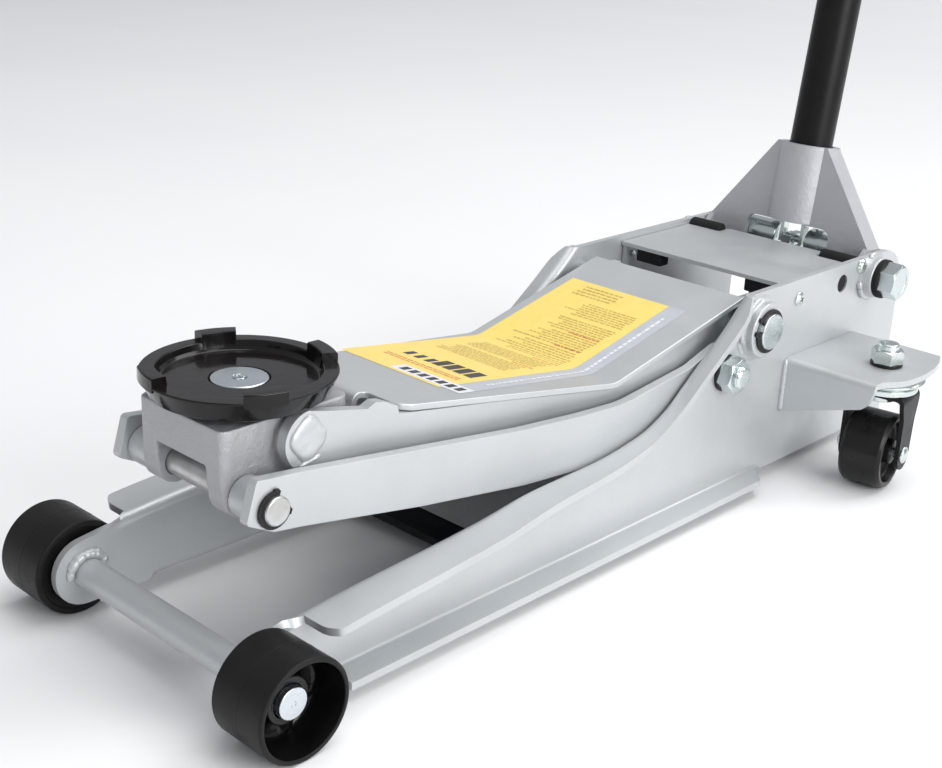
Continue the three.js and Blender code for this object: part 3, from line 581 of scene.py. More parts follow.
def plate_section(y):
    """The plate's inner face at one station, from the top flange's tip down to the bottom flange's."""
    across = math.sqrt(max(NOSE_R ** 2 - y * y, 0.0)) if y < 0 else NOSE_R
    low = AXLE_Z - across if y < 0 else PLATE_LOW
    if y < -3.6:
        high = AXLE_Z + across
    elif y < TAIL[0]:
        high = CREST(min(y, 466))  # trimmed to the plate's flat top afterwards
    else:
        high = TAIL[1] + math.sqrt(max(TAIL[2] ** 2 - (y - TAIL[0]) ** 2, 0.0))
    turn = min(BEND, (high - low) / 4)
    top_bend = ease((y - 20) / 11.5) if y < 490 else 0.0
    low_bend = ease((y - 44) / 8) * ease((481 - y) / 8)
    rows = []
    if TOP_FLANGE[0] <= y <= TOP_FLANGE[1]:
        tip = TOP_EDGE(y) - 8 + math.sqrt(max(64 - max(TOP_FLANGE[0] + 8 - y, 0.0) ** 2, 0.0))
        rows += [(tip + (PLATE_IN + BEND - tip) * k / 5, high) for k in range(5)]
    else:
        rows += [None] * 5
    for k in range(7):
        a = math.radians(90 * (1 - k / 6))
        bent = (PLATE_IN + BEND * (1 - math.cos(a)), high - turn + turn * math.sin(a))
        straight = (PLATE_IN, high - turn * k / 6)
        rows.append(tuple(s + (b - s) * top_bend for s, b in zip(straight, bent)))
    web_top, web_low = high - turn, low + turn
    rows += [(PLATE_IN, web_top + (web_low - web_top) * k / 6) for k in range(1, 6)]
    for k in range(7):
        a = math.radians(90 * k / 6)
        bent = (PLATE_IN + BEND * (1 - math.cos(a)), low + turn - turn * math.sin(a))
        straight = (PLATE_IN, web_low - turn * k / 6)
        rows.append(tuple(s + (b - s) * low_bend for s, b in zip(straight, bent)))
    if LOW_FLANGE[0] <= y <= LOW_FLANGE[1]:
        tip = PLATE_IN + BEND + (100.5 - PLATE_IN - BEND) * min(1.0, (LOW_FLANGE[1] - y) / 16 + 0.02)
        rows += [(PLATE_IN + BEND + (tip - PLATE_IN - BEND) * k / 4, low) for k in range(1, 5)]
    else:
        rows += [None] * 4
    return [None if p is None else (p[0], y, p[1]) for p in rows]


def side_plates():
    sheet = new_object(surface([plate_section(y) for y in plate_stations()]), fix_normals=False)
    if sum(p.normal.x for p in sheet.data.polygons) > 0:
        sheet.data.flip_normals()
    thick = sheet.modifiers.new("thick", "SOLIDIFY")
    thick.thickness = PLATE_T * MM
    thick.offset = -1
    thick.use_even_offset = True
    settle(sheet)
    boolean(sheet, "DIFFERENCE", [rod("X", 7, 60, 110, PLUG, segments=48), box(60, 110, 430, 680, PLATE_TOP, 180)])
    pair("side_plate", sheet, SILVER, edge=0.7)
    plug = [(0, PLATE_IN + 0.2), (6.65, PLATE_IN + 0.2), (6.65, 81.0, 0.6), (5.4, 81.5, 0.8), (0, 81.0)]
    pair("plate_plug", turned("X", plug, PLUG, 48), RUBBER)

    collar = [(13.7, PLATE_OUT - 3), (24.5, PLATE_OUT - 3), (24.5, PLATE_OUT + 0.4), (22.5, 84, 2),
              (20.8, 87, 2), (20.3, 92, 1.2), (15.5, 92, 0.6), (15.2, 91), (13.7, 91)]
    pair("pivot_boss", uneven(turned("X", collar, PIVOT, 96), 0.5), SILVER, nodes=())
    weld_pair("pivot_boss_weld", [(84.5, y, z) for y, z in arc(*PIVOT, 22.5, 95, 200, 20)], 2.0)
    small = [(8.3, PLATE_OUT - 3), (17.5, PLATE_OUT - 3), (17.5, PLATE_OUT + 0.4), (16.4, 85, 2), (16.0, 88, 2),
             (16, 92.6, 1.2), (8.3, 92.6)]
    boss = uneven(turned("X", small, HANDLE_BOLT, 80), 0.5)
    piece("handle_boss_look", boss, "chassis", SILVER)
    bead = [(84.0, u, v) for u, v in arc(*HANDLE_BOLT, 17.0, -175, 112, 40)]
    weld("handle_boss_weld", bead, 2.3, lump=3.4, waver=0.22)


def uneven(shell, amount, scale=0.16):
    """Nudges each point, as the surface of weld metal is never quite even."""
    verts = []
    for p in shell[0]:
        p = Vector(p)
        verts.append(tuple(p + Vector((0, 1, 1)) * amount * noise.noise(p * scale)))
    return verts, shell[1]


def axle():
    """A bar, painted between the plates and bright outside them, welded in over its upper half."""
    end = AXLE_END
    half = [(1.4, end - 0.35), (1.7, end), (9.5, end, 0.9), (9.5, PLATE_IN)]
    profile = [(0, -end + 0.35)] + [(r, -x, *e) for r, x, *e in half] + half[::-1] + [(0, end - 0.35)]
    bar = stand_in("front_axle", turned("X", profile, (0, AXLE_Z), 72, steps=3), "chassis", AXLE_ZINC)
    mark_faces(bar, SILVER, lambda x, r: abs(x) < PLATE_IN)
    bead = [(PLATE_IN - 1.4, y, z) for y, z in arc(0, AXLE_Z, 12.0, 8, 192, 24)]
    weld_pair("axle_weld", bead, 3.0, lump=3.2, waver=0.3)
    stand_in("cross_strap", box(-76.6, 76.6, 206, 232.5, 10, 16), "chassis", SATIN, edge=0.8)


def front_wheels():
    """Cast wheels with a deep dish on the outside, a hub, and radial webs on the floor of the dish."""
    wall = [(9.9, 87.4), (15, 87.4, 1), (26, 84.4, 2), (26.4, 83.4, 0.6), (30, 83.4, 1.5), (30, 101.5),
            (30, 103.1), (30.12, 103.4), (30, 103.7), (30, 105.3), (30, 123.4, 1.6), (26.9, 123.4, 0.8),
            (25.6, 100.5, 4), (14.3, 98.5, 2), (14.0, 109.5, 1), (9.9, 109.5, 0.5)]
    wheel = new_object(turned("X", wall, (0, AXLE_Z), 112, steps=4))
    ribs = []
    for k in range(6):
        rib = prism("Y", [(97, 13), (108.2, 13.2), (102.4, 26.2), (97, 26.2)], -1.5, 1.5)
        turn = Matrix.Rotation(math.radians(60 * k + 14), 4, "X")
        ribs.append(moved(rib, Matrix.Translation((0, 0, AXLE_Z)) @ turn))
    boolean(wheel, "UNION", ribs)
    pair("front_wheel", wheel, TREAD, body="front_wheel_{}", edge=0.45)
    for side, _ in SIDES:
        wheel = bpy.data.objects[f"front_wheel_{side}_look"]
        mark_faces(wheel, MOULDED, lambda x, r: abs(x) > 96 and r < 26.8)


def mark_faces(obj, look, chosen):
    """Gives another look to the faces chosen by their place along the axle and their distance from it."""
    obj.data.materials.append(look)
    hub = Vector((0, AXLE_Y, AXLE_Z)) * MM
    for face in obj.data.polygons:
        away = (face.center - hub) / MM
        if chosen(away.x, math.hypot(away.y, away.z)):
            face.material_index = 1


# ---------------------------------------------------------------- rear casters
def caster_brackets():
    section = fillet([(601, 95), (501, 95, 5.5), (501, 50), (505.5, 50), (505.5, 90.5, 1.2), (601, 90.5)], steps=6)
    plan = [(82.4, 490), (157.5, 490), (157.5, 501), (158, 510.8, 6), (163.6, 518.6, 14), (168, 528, 20),
            (170, 541, 30), (169.9, 556.5, 40), (168, 572.5, 40), (164.1, 586.4, 30), (158.4, 600, 2),
            (82.4, 600)]
    front = fillet([(82.4, 97), (82.4, 52), (150, 74, 7), (154.6, 80, 6), (157.2, 88, 6), (157.4, 90.5),
                    (175, 90.5), (175, 97)])
    bracket = carved(prism("X", section, 82.4, 174),
                     keep=[prism("Z", fillet(plan), 40, 100), prism("Y", front, 480, 610)])
    pair("caster_bracket", bracket, SILVER, edge=0.5)
    weld_pair("bracket_weld", [(83.4, 501.5, z) for z in (53, 60, 67, 74, 81, 88, 94)], 2.2)


def race_and_kingpin():
    race = [(8.4, 77.8), (25.5, 77.8, 0.8), (25.5, 82, 0.6), (22.5, 82.8, 0.4), (29.6, 85.4, 0.6),
            (30, 86.6, 0.8), (27.6, 88.4, 1), (24.6, 90.1, 0.8), (8.4, 90.1)]
    pair("caster_race", turned("Z", race, CASTER, 80, steps=3), ZINC)
    outline, cone = hex_nut("Z", 21.5, 97.6, 107.4, CASTER, turn=11)
    nut = carved(outline, keep=[cone])
    stud = [(0, 69), (8, 69), (8, 110.8, 1), (7.2, 112, 1), (0, 112.6)]
    boolean(nut, "UNION", [turned("Z", stud, CASTER, 48, steps=4), rod("Z", 11.5, 68.6, 73.5, CASTER, 1)])
    pair("caster_kingpin", nut, ZINC, edge=0.2, smooth=28)
    ring = [(8.3, 95.1), (12, 95.1, 0.8), (12, 97.8, 0.9), (8.3, 97.8)]
    pair("kingpin_washer", turned("Z", ring, CASTER, 64, steps=3), DARK_STEEL, nodes=())


def caster_frame(sign):
    turn = Matrix.Rotation(math.radians(CASTER_TURN), 4, "Z")
    return Matrix.Translation((sign * CASTER[0], CASTER[1], 0)) @ turn


def caster_units():
    out, inner, roof, under = 23.4, 20.0, 77.4, 74.0
    bow = fillet([(-out, 12), (-out, roof, 6), (out, roof, 6), (out, 12), (inner, 12), (inner, under, 3),
                  (-inner, under, 3), (-inner, 12)])
    foot = arc(0.5, CASTER_R - 1, 12, 195, 345, 12)
    side_view = fillet(foot + [(14, 54, 8), (18, 68, 6), (18, 90), (-17, 90), (-17, 70, 6), (-11.5, 58, 10)], steps=6)
    tyre = [(4.4, -16), (9.2, -16, 0.8), (9.6, -9, 2), (22.6, -9, 2), (24.0, -16, 1), (27.4, -16, 1.2),
            (CASTER_R, -13.4, 2.0)]
    tyre += [(r, -t, *e) for r, t, *e in reversed(tyre)]
    head = [(0, 27), (3.4, 26.8, 1.6), (6.6, 25.0, 1.2), (6.6, out + 0.2), (4, out + 0.2)]
    rivet = head + [(r, -t, *e) for r, t, *e in reversed(head)]
    axis = (-CASTER_TRAIL, CASTER_R)
    for side, sign in SIDES:
        place = caster_frame(sign)
        fork = carved(moved(prism("Y", bow, -22, 22), place), keep=[moved(prism("X", side_view, -30, 30), place)])
        boolean(fork, "DIFFERENCE", [moved(rod("Z", 8.6, 60, 90), place)])
        stand_in(f"caster_fork_{side}", fork, f"caster_{side}", SATIN, edge=0.5)
        wheel = moved(turned("X", tyre, axis, 96, steps=4), place)
        stand_in(f"caster_wheel_{side}", wheel, f"caster_wheel_{side}", CASTER_BLACK)
        pin = moved(turned("X", rivet, axis, 48, steps=4), place)
        stand_in(f"caster_rivet_{side}", pin, f"caster_{side}", ZINC)


# ---------------------------------------------------------------- cover, bumpers, bolts and the main pin
def rear_cover():
    top, low, half = 150.5, 147.5, 76.4
    bow = [(-half, 131), (-half, top, 2.4), (half, top, 2.4), (half, 131), (half - 3, 131),
           (half - 3, low, 0.8), (3 - half, low, 0.8), (3 - half, 131)]
    plan = [(-half, 499.5), (half, 499.5), (half, 591.4), (46, 591.4, 3), (46, 606, 3), (-46, 606, 3),
            (-46, 591.4, 3), (-half, 591.4)]
    cover = carved(prism("Y", fillet(bow), 501.5, 548), join=[prism("Z", fillet(plan), low, top)])
    stand_in("rear_cover", cover, "chassis", SILVER, edge=0.5)
    # Painted shade: a black rubber block under the cover's front edge stands in for the shadow that falls there.
    pair("cover_shadow_pad", box(39, 63, 502, 513, 137, 147.4), RUBBER, nodes=(), edge=1.2)


def cross_recess(x, centre, reach, width, depth, turn):
    """Two crossed bars that cut a screw's driving recess."""
    bars = []
    for extra in (0, 90):
        bar = box(x - depth, x + 5, -reach, reach, -width, width)
        spin = Matrix.Translation((0, *centre)) @ Matrix.Rotation(math.radians(turn + extra), 4, "X")
        bars.append(moved(bar, spin))
    return bars


def screws_and_bumpers():
    seat = PLATE_OUT - 0.05
    dome = [(0, 72), (2.5, 72), (2.5, seat), (5.5, seat, 0.3), (5.4, seat + 1.2, 0.8), (3.6, seat + 2.7, 1.5),
            (0, seat + 3.2)]
    screw = new_object(turned("X", dome, (510.4, 139.5), 48, steps=4))
    boolean(screw, "DIFFERENCE", cross_recess(seat + 3.2, (510.4, 139.5), 2.7, 0.5, 1.7, 25))
    pair("cover_screw", screw, ZINC, edge=0.12)
    bold = [(0, 60.5), (3, 60.5), (3, seat), (6.2, seat, 0.3), (6.0, seat + 1.6, 1.0), (4.2, seat + 3.9, 2),
            (0, seat + 4.7)]
    screw = new_object(turned("X", bold, BUMPER, 48, steps=4))
    boolean(screw, "DIFFERENCE", cross_recess(seat + 4.7, BUMPER, 2.6, 0.55, 2.0, 40))
    pair("bumper_screw", screw, ZINC, edge=0.12)
    roll = [(0, 48), (6.6, 48, 1.2), (6.6, 76.8, 0.6), (3.4, 76.8), (3.4, 60), (0, 60)]
    pair("bumper", turned("X", roll, BUMPER, 56, steps=4), RUBBER)


def bolts():
    washer = [(8.4, PLATE_OUT - 0.1), (13.4, PLATE_OUT - 0.1, 0.5), (13.4, 85.0, 0.7), (8.4, 85.0)]
    pair("rod_bolt_washer", turned("X", washer, ROD_BOLT, steps=3), DARK_STEEL, nodes=())
    outline, cone = hex_nut("X", 24, 84.9, 95.2, ROD_BOLT, turn=14)
    nut = carved(outline, keep=[cone])
    shank = turned("X", [(0, 64.6), (11, 64.6, 1), (11, 68.6, 0.6), (8, 68.6), (8, 95), (0, 95)], ROD_BOLT)
    boolean(nut, "UNION", [shank, threads("X", 8, 94, 99.3, ROD_BOLT, pitch=1.5)])
    pair("rod_bolt", nut, ZINC, edge=0.2, smooth=28)

    handle_bolt("left", 1, 92.6, 15.4, 4.7, 25, 13, RUBBER)
    handle_bolt("right", -1, PLATE_OUT + 0.1, 12, 2.0, 22, 6.3, DARK_STEEL)


def handle_bolt(side, sign, seat, washer_r, washer_t, flats, head_t, washer_look):
    """The bolt the handle's fork swings on: long on its boss on the left, a thin nut on the right."""
    face = seat + washer_t
    ring = [(8.4, seat), (washer_r, seat, 0.9), (washer_r, face, 0.9), (8.4, face)]
    washer = turned("X", ring, HANDLE_BOLT, steps=3)
    outline, cone = hex_nut("X", flats, face - 0.2, face + head_t, HANDLE_BOLT, turn=24)
    shank = rod("X", 8, 62, face + 1, HANDLE_BOLT, 0.8)
    mark = rod("X", 8.6, face + head_t - 0.4, face + 20, HANDLE_BOLT)
    if sign < 0:
        washer, outline, cone, shank, mark = (mirrored(shell) for shell in (washer, outline, cone, shank, mark))
    piece(f"handle_bolt_washer_{side}", washer, "chassis", washer_look)
    head = carved(outline, keep=[cone])
    boolean(head, "UNION", [shank])
    boolean(head, "DIFFERENCE", [mark])
    stand_in(f"handle_bolt_{side}", head, "chassis", ZINC, edge=0.2, smooth=28)


def snap_ring(name, x, centre, inner, outer, thick, gap_at, gap):
    """An open spring ring on a pin, with an eye at each of its ends."""
    ring = [(inner, x), (outer, x, 0.3), (outer, x + thick, 0.3), (inner, x + thick)]
    obj = new_object(turned("X", ring, centre, 48, start=gap_at + gap / 2, sweep=360 - gap, steps=2))
    eyes = []
    for end in (gap_at - gap / 2, gap_at + gap / 2):
        a = math.radians(end)
        at = (centre[0] + (outer + 0.4) * math.cos(a), centre[1] + (outer + 0.4) * math.sin(a))
        eyes.append(rod("X", 1.9, x, x + thick, at, segments=20))
    boolean(obj, "UNION", eyes)
    return obj


def main_pivot():
    end = 96.3
    profile = [(0, -end), (13.2, -end, 1.0), (13.2, end, 1.0), (0, end)]
    stand_in("main_pivot_pin", turned("X", profile, PIVOT, 96, steps=3), "chassis", TURNED_ZINC)
    ring = snap_ring("ring", 92.1, PIVOT, 12.6, 16.2, 1.6, 159, 36)
    pair("pivot_snap_ring", ring, DARK_STEEL, nodes=(), edge=0.15)


# ---------------------------------------------------------------- lift arm
ARM_T = 4.2
ARM_LINE = [(457, 147.5), (315, 115.5, 26), (120, 143.6)]


def splayed(x_front, x_rear, t, bend0, bend1, end0, end1, r):
    """A bent bar seen from above: close in at the front, splayed out, and straight again at the rear."""
    return fillet([(x_front, end0), (x_front + t, end0), (x_front + t, bend0, r), (x_rear + t, bend1, r),
                   (x_rear + t, end1), (x_rear, end1), (x_rear, bend1, r), (x_front, bend0, r)], steps=6)


def arm_cheeks():
    outline = arc(*UPPER_PIN, 17.6, 235, 95, 24)
    outline += [(77, 152.4), (93.9, 148.8, 4), (106.5, 145.8, 2), (112.8, 148.5, 2), (118.7, 147.4, 3),
                (129, 142.6, 1), (130.2, 137.4), (315, 111), (457, 142.4)]
    outline += arc(*PIVOT, 23, 38, -90, 20)
    outline += [(425, 100, 20), (372, 78, 40), (315, 67, 60), (240, 73, 80), (110, 106, 60)]
    plan = splayed(43, 57, 7, 110, 340, 30, 500, 60)
    cheek = carved(prism("X", fillet(outline, steps=6), 30, 80), keep=[prism("Z", plan, 40, 180)])
    pair("arm_cheek", cheek, SILVER, body="arm", edge=0.8)


def arm_top_plate():
    front = ARM_LINE[-1]
    over = fillet(ARM_LINE[:2] + [(*front, 6), (front[0], 124)], steps=10, closed=False)
    under = [(y, z - ARM_T, *r) for y, z, *r in ARM_LINE[:2]]
    under += [(front[0] + ARM_T, 138.8, 2), (front[0] + ARM_T, 124)]
    under = fillet(under, steps=10, closed=False)
    half = [(-22, 119), (-22, 131, 3), (-42, 131, 3), (-48, 133.5, 5), (-52.2, 140, 10), (-66.8, 315, 60),
            (-68.4, 440), (-68.4, 457, 1)]
    plan = half + [(-x, y, *r) for x, y, *r in reversed(half)]
    band = prism("X", over + under[::-1], -80, 80)
    plate = carved(band, keep=[prism("Z", fillet(plan), 60, 180)])
    stand_in("arm_top_plate", plate, "arm", SILVER, edge=0.9, segments=3)


def arm_top_z(y):
    """Height of the arm's upper face at y."""
    line = fillet(ARM_LINE, steps=10, closed=False)
    for (y1, z1), (y0, z0) in zip(line, line[1:]):
        if y0 <= y <= y1:
            return z0 + (z1 - z0) * (y - y0) / (y1 - y0)
    raise ValueError(f"{y} is off the arm")


def arm_lever():
    a = math.radians(21.65)
    end = (PIVOT[0] + 55 * math.sin(a), PIVOT[1] - 55 * math.cos(a))
    side = (math.cos(a), math.sin(a))
    blade = [(PIVOT[0] - 17 * side[0], PIVOT[1] - 17 * side[1]), (end[0] - 11 * side[0], end[1] - 11 * side[1]),
             (end[0] + 11 * side[0], end[1] + 11 * side[1]), (PIVOT[0] + 17 * side[0], PIVOT[1] + 17 * side[1])]
    hub = carved(rod("X", 19.8, -57.6, 57.6, PIVOT, segments=72),
                 join=[prism("X", blade, -9, 9), rod("X", 11, -9, 9, end), rod("X", 7, -26, 26, end, 0.8)])
    ceiling = [(430, 137), (457, 142.8), (500, 142.8), (500, 200), (430, 200)]
    boolean(hub, "DIFFERENCE", [prism("X", ceiling, -90, 90)])
    stand_in("arm_lever", hub, "arm", SILVER, edge=0.8)


def front_pin():
    """The upper carrier pin, welded over in a soft-cornered plug on each cheek."""
    y, z = UPPER_PIN
    stand_in("arm_front_pin", rod("X", 9, -50, 50, UPPER_PIN), "arm", SILVER)
    rows = []
    for size, rise in ((1.04, -0.6), (1.02, 0.3), (0.97, 1.2), (0.88, 1.9), (0.74, 2.3), (0.58, 2.4), (0.42, 2.1),
                       (0.22, 2.0), (0.0, 2.0)):
        row = []
        for k in range(72):
            a = 2 * math.pi * k / 72
            r = 11.9 * (1 + 0.075 * math.cos(4 * a + 0.3)) * size
            p = Vector((50 + rise, y - 1.8 + r * math.cos(a), z + 1.5 + r * 1.06 * math.sin(a)))
            row.append(tuple(p + Vector((0.5, 0.4, 0.4)) * noise.noise(p * 0.22)))
        rows.append(row + row[:1])
    pair("pin_plug", surface(rows), SILVER, body="arm", nodes=())
    bead = [(50.6, y - 9 + 2.6 * k, z - 13.4 + 0.55 * k) for k in range(7)]
    weld_pair("pin_plug_weld", bead, 1.7, "arm", lump=2.6)


def radius_rods():
    outline = [(11, 108, 3), (18, 132, 3), (52, 128, 20), (216, 110.5, 200), (314, 104, 120), (387, 112, 30)]
    outline += arc(*ROD_BOLT, 19, 110, -75, 24)
    outline += [(400, 83, 20), (314, 66, 80), (219, 72, 120), (134, 82.5, 120), (30, 98.5, 6)]
    plan = splayed(55, 69, 7, 50, 270, 5, 450, 3)
    bar = carved(prism("X", fillet(outline, steps=6), 50, 80), keep=[prism("Z", plan, 50, 150)])
    pair("radius_rod", bar, SILVER, body="rod_{}", edge=0.8)


# ---------------------------------------------------------------- saddle and carrier
def cast(obj, grain, passes=4):
    """Melts a mesh's corners together as a casting's are."""
    step = obj.modifiers.new("melt", "REMESH")
    step.mode = "VOXEL"
    step.voxel_size = grain * MM
    settle(obj)
    step = obj.modifiers.new("soft", "SMOOTH")
    step.factor = 0.5
    step.iterations = passes
    settle(obj)


def saddle_carrier():
    outline = [(14, 152), (14.5, 120)] + arc(*LOWER_PIN, 13.5, 175, 290, 12)
    outline += [(50, 108, 8), (73, 118, 6), (94, 131, 8), (104, 141, 4), (104, 152)]
    plan = fillet([(-38, 13), (38, 13), (38, 104.4), (-38, 104.4)], radius=7, steps=6)
    front = [(-38.2, 153), (38.2, 153), (37.8, 90), (-37.8, 90)]
    hubs = rod("X", 15, -42.5, 42.5, (UPPER_PIN[0], UPPER_PIN[1] - 2.4))
    window = prism("X", fillet([(-10, 80), (50, 80), (50, 127.5, 4), (-10, 129)]), -22.5, 22.5)
    under = box(-26, 26, 78, 130, 100, 141)
    carrier = carved(prism("X", fillet(outline), -40, 40),
                     keep=[prism("Z", plan, 80, 160), prism("Y", front, 0, 120)], cut=[window, under])
    boolean(carrier, "UNION", [hubs])
    bore = rod("X", LOWER_R + 0.4, -80, 80, LOWER_PIN, segments=48)
    cast(carrier, 0.8)
    boolean(carrier, "DIFFERENCE", [bore, rod("X", 9.4, -80, 80, UPPER_PIN, segments=48)])
    stand_in("saddle_carrier", carrier, "carrier", CAST, smooth=50)


def lower_pin():
    end = 66.4
    profile = [(0, -end), (LOWER_R, -end, 1.2), (LOWER_R, end, 1.2), (0, end)]
    pin = turned("X", profile, LOWER_PIN, 72, steps=3)
    piece("lower_pin_look", pin, "carrier", PIN_STEEL, ["carrier_lower_pin"])
    collar = [(LOWER_R - 1, 38.4), (12, 38.4, 0.8), (12, 54.6, 0.8), (LOWER_R - 1, 54.6)]
    pair("pin_collar", turned("X", collar, LOWER_PIN), SILVER, body="carrier", nodes=())
    x = 62.4
    clip = [(LOWER_R - 1.2, x), (LOWER_R + 2.6, x, 0.3), (LOWER_R + 2.6, x + 1.4, 0.3), (LOWER_R - 1.2, x + 1.4)]
    ring = new_object(turned("X", clip, LOWER_PIN, 48, start=70, sweep=282, steps=2))
    nib = Matrix.Translation((0, *LOWER_PIN))
    lugs = []
    for turn in (84, 340):
        spin = nib @ Matrix.Rotation(math.radians(turn - 90), 4, "X")
        lugs.append(moved(box(x, x + 1.4, -1.6, 1.6, LOWER_R - 1, LOWER_R + 3.4), spin))
    boolean(ring, "UNION", lugs)
    pair("pin_clip", ring, DARK_STEEL, body="carrier", edge=0.2)


def saddle():
    rim, ring, r = 168.8, 9.0, 55.7
    floor = rim - 5.9
    lug_angles = (157, 74, -23, -106)
    centre = (0, SADDLE_Y)
    dish = [(6.5, 152.4), (30, 152.4, 1), (30, 156.4, 1), (50.4, 156.4, 1.6), (r, rim - 1, 2),
            (r - 0.2, rim, 1.0), (r - ring, rim, 1.1), (r - ring - 0.9, floor + 2.0, 0.6),
            (r - ring - 2.6, floor, 2.0), (17.3, floor, 0.7), (17.3, floor - 3), (6.5, floor - 3)]
    top = new_object(turned("Z", dish, centre, 144, steps=4))
    lugs = []
    for a in lug_angles:
        block = [(r - ring, rim - 3), (r + 0.2, rim - 3), (r + 0.1, rim + 5, 1.2), (r - ring, rim + 5, 1.0)]
        lugs.append(turned("Z", block, centre, 20, start=a - 12.6, sweep=25.2, steps=3))
        foot = [(r - ring - 1.7, floor - 1), (r - ring + 1, floor - 1), (r - ring + 1, rim + 4.4),
                (r - ring, rim + 4.4)]
        lugs.append(lathe("Z", foot, centre, 16, start=a - 12, sweep=24))
    boolean(top, "UNION", lugs)
    stand_in("saddle", top, "saddle", SADDLE_PAINT, edge=0.7, segments=3)

    head = [(0, 148.2), (6, 148.2), (6, floor - 2.6), (16.5, floor - 2.6), (16.5, floor + 0.2, 0.9),
            (4.3, floor + 0.2, 0.5), (4.0, floor - 2), (0, floor - 2.3)]
    stand_in("saddle_screw", turned("Z", head, centre, 72, steps=3), "saddle", SCREW_ZINC)
    socket = [(2.5, floor - 1.9), (4.2, floor - 1.9), (4.2, floor + 0.5, 0.3), (2.9, floor + 0.3)]
    piece("screw_socket", turned("Z", socket, centre, 6), "saddle", ZINC, edge=0.15)


# ---------------------------------------------------------------- decal on the arm
DECAL_FRONT, DECAL_REAR, DECAL_LIFT = 183.0, 418.6, 0.16


def on_arm(x, y, lift):
    return (x, y, arm_top_z(y) + lift)


def decal_sheet(name, x0, x1, y0, y1, lift, look):
    steps = 2 + int((y1 - y0) / 3)
    rows = []
    for k in range(steps + 1):
        y = y0 + (y1 - y0) * k / steps
        rows.append([on_arm(x0, y, lift), on_arm(x1, y, lift)])
    obj = new_object(surface(rows))
    if obj.data.polygons[0].normal.z < 0:
        obj.data.flip_normals()
    piece(name, obj, "arm", look)


def printed(name, bars, look):
    """Small printed bars (x0, x1, y0, y1) lying on the decal."""
    shells = []
    for x0, x1, y0, y1 in bars:
        corners = [on_arm(x, y, DECAL_LIFT + 0.07) for x, y in ((x0, y0), (x1, y0), (x1, y1), (x0, y1))]
        shells.append((corners, [[0, 1, 2, 3]]))
    obj = new_object(together(*shells), fix_normals=False)
    piece(name, obj, "arm", look)


def chance(k):
    """A repeatable number from 0 to 1."""
    return (math.sin(k * 12.9898) * 43758.5453) % 1.0


def text_rows(x_left, x_right, y0, y1, pitch, ragged=0.0, seed=0):
    """Rows of short dashes, as small print looks from a distance."""
    bars = []
    y = y1
    k = seed * 1000
    while y > y0:
        x = x_left + ragged * chance(k + 0.5)
        while x < x_right - 2:
            k += 1
            long = 1.6 + 4.2 * chance(k)
            bars.append((x, min(x + long, x_right), y - pitch * 0.48, y))
            x += long + 0.9
        y -= pitch
    return bars


def decal():
    decal_sheet("decal_band", 31, 46, DECAL_FRONT + 2, DECAL_REAR, DECAL_LIFT - 0.06, DECAL_GREY)
    decal_sheet("decal_field", -59, 31, DECAL_FRONT, DECAL_REAR, DECAL_LIFT, DECAL_YELLOW)
    decal_sheet("decal_block", -16, 46, DECAL_FRONT + 3, DECAL_FRONT + 17, DECAL_LIFT + 0.05, DECAL_WHITE)
    small = []
    for n, (x0, x1, y0, y1, ragged) in enumerate([
            (-34, 24, 372, 392, 14), (-30, 24, 352, 368, 10), (-44, 22, 334, 349, 26), (-46, 22, 310, 330, 22),
            (-46, 20, 284, 304, 6), (-46, 18, 258, 279, 6)]):
        small += text_rows(x0, x1, y0, y1, 2.9, ragged, n + 1)
    small += text_rows(-44, -6, 397, 413, 4.0, 6, 9)
    printed("decal_small_print", small, DECAL_OCHRE)
    headings = []
    for n, y in enumerate((349.5, 331, 305.5, 280)):
        headings += text_rows(-6 + 3 * n, 22, y, y + 2.6, 3.0, 0, 20 + n)
    headings += text_rows(-44, 24, 206, 212, 3.4, 0, 30)
    printed("decal_headings", headings, DECAL_RED)
    figure = []
    for k in range(7):
        x = 23 - 9.5 * k
        figure.append((x - (7.5 if k < 4 else 5), x, 220, 236 if k < 4 else 230))
    printed("decal_figure", figure, DECAL_DARK)
    printed("decal_block_print", [(x, x + 5.2, DECAL_FRONT + 6, DECAL_FRONT + 14) for x in range(-11, 38, 8)],
            DECAL_DARK)
    printed("decal_band_print", [bar[2:] + bar[:2] for bar in text_rows(218, 402, 36, 40, 5, 0, 40)], DECAL_WHITE)


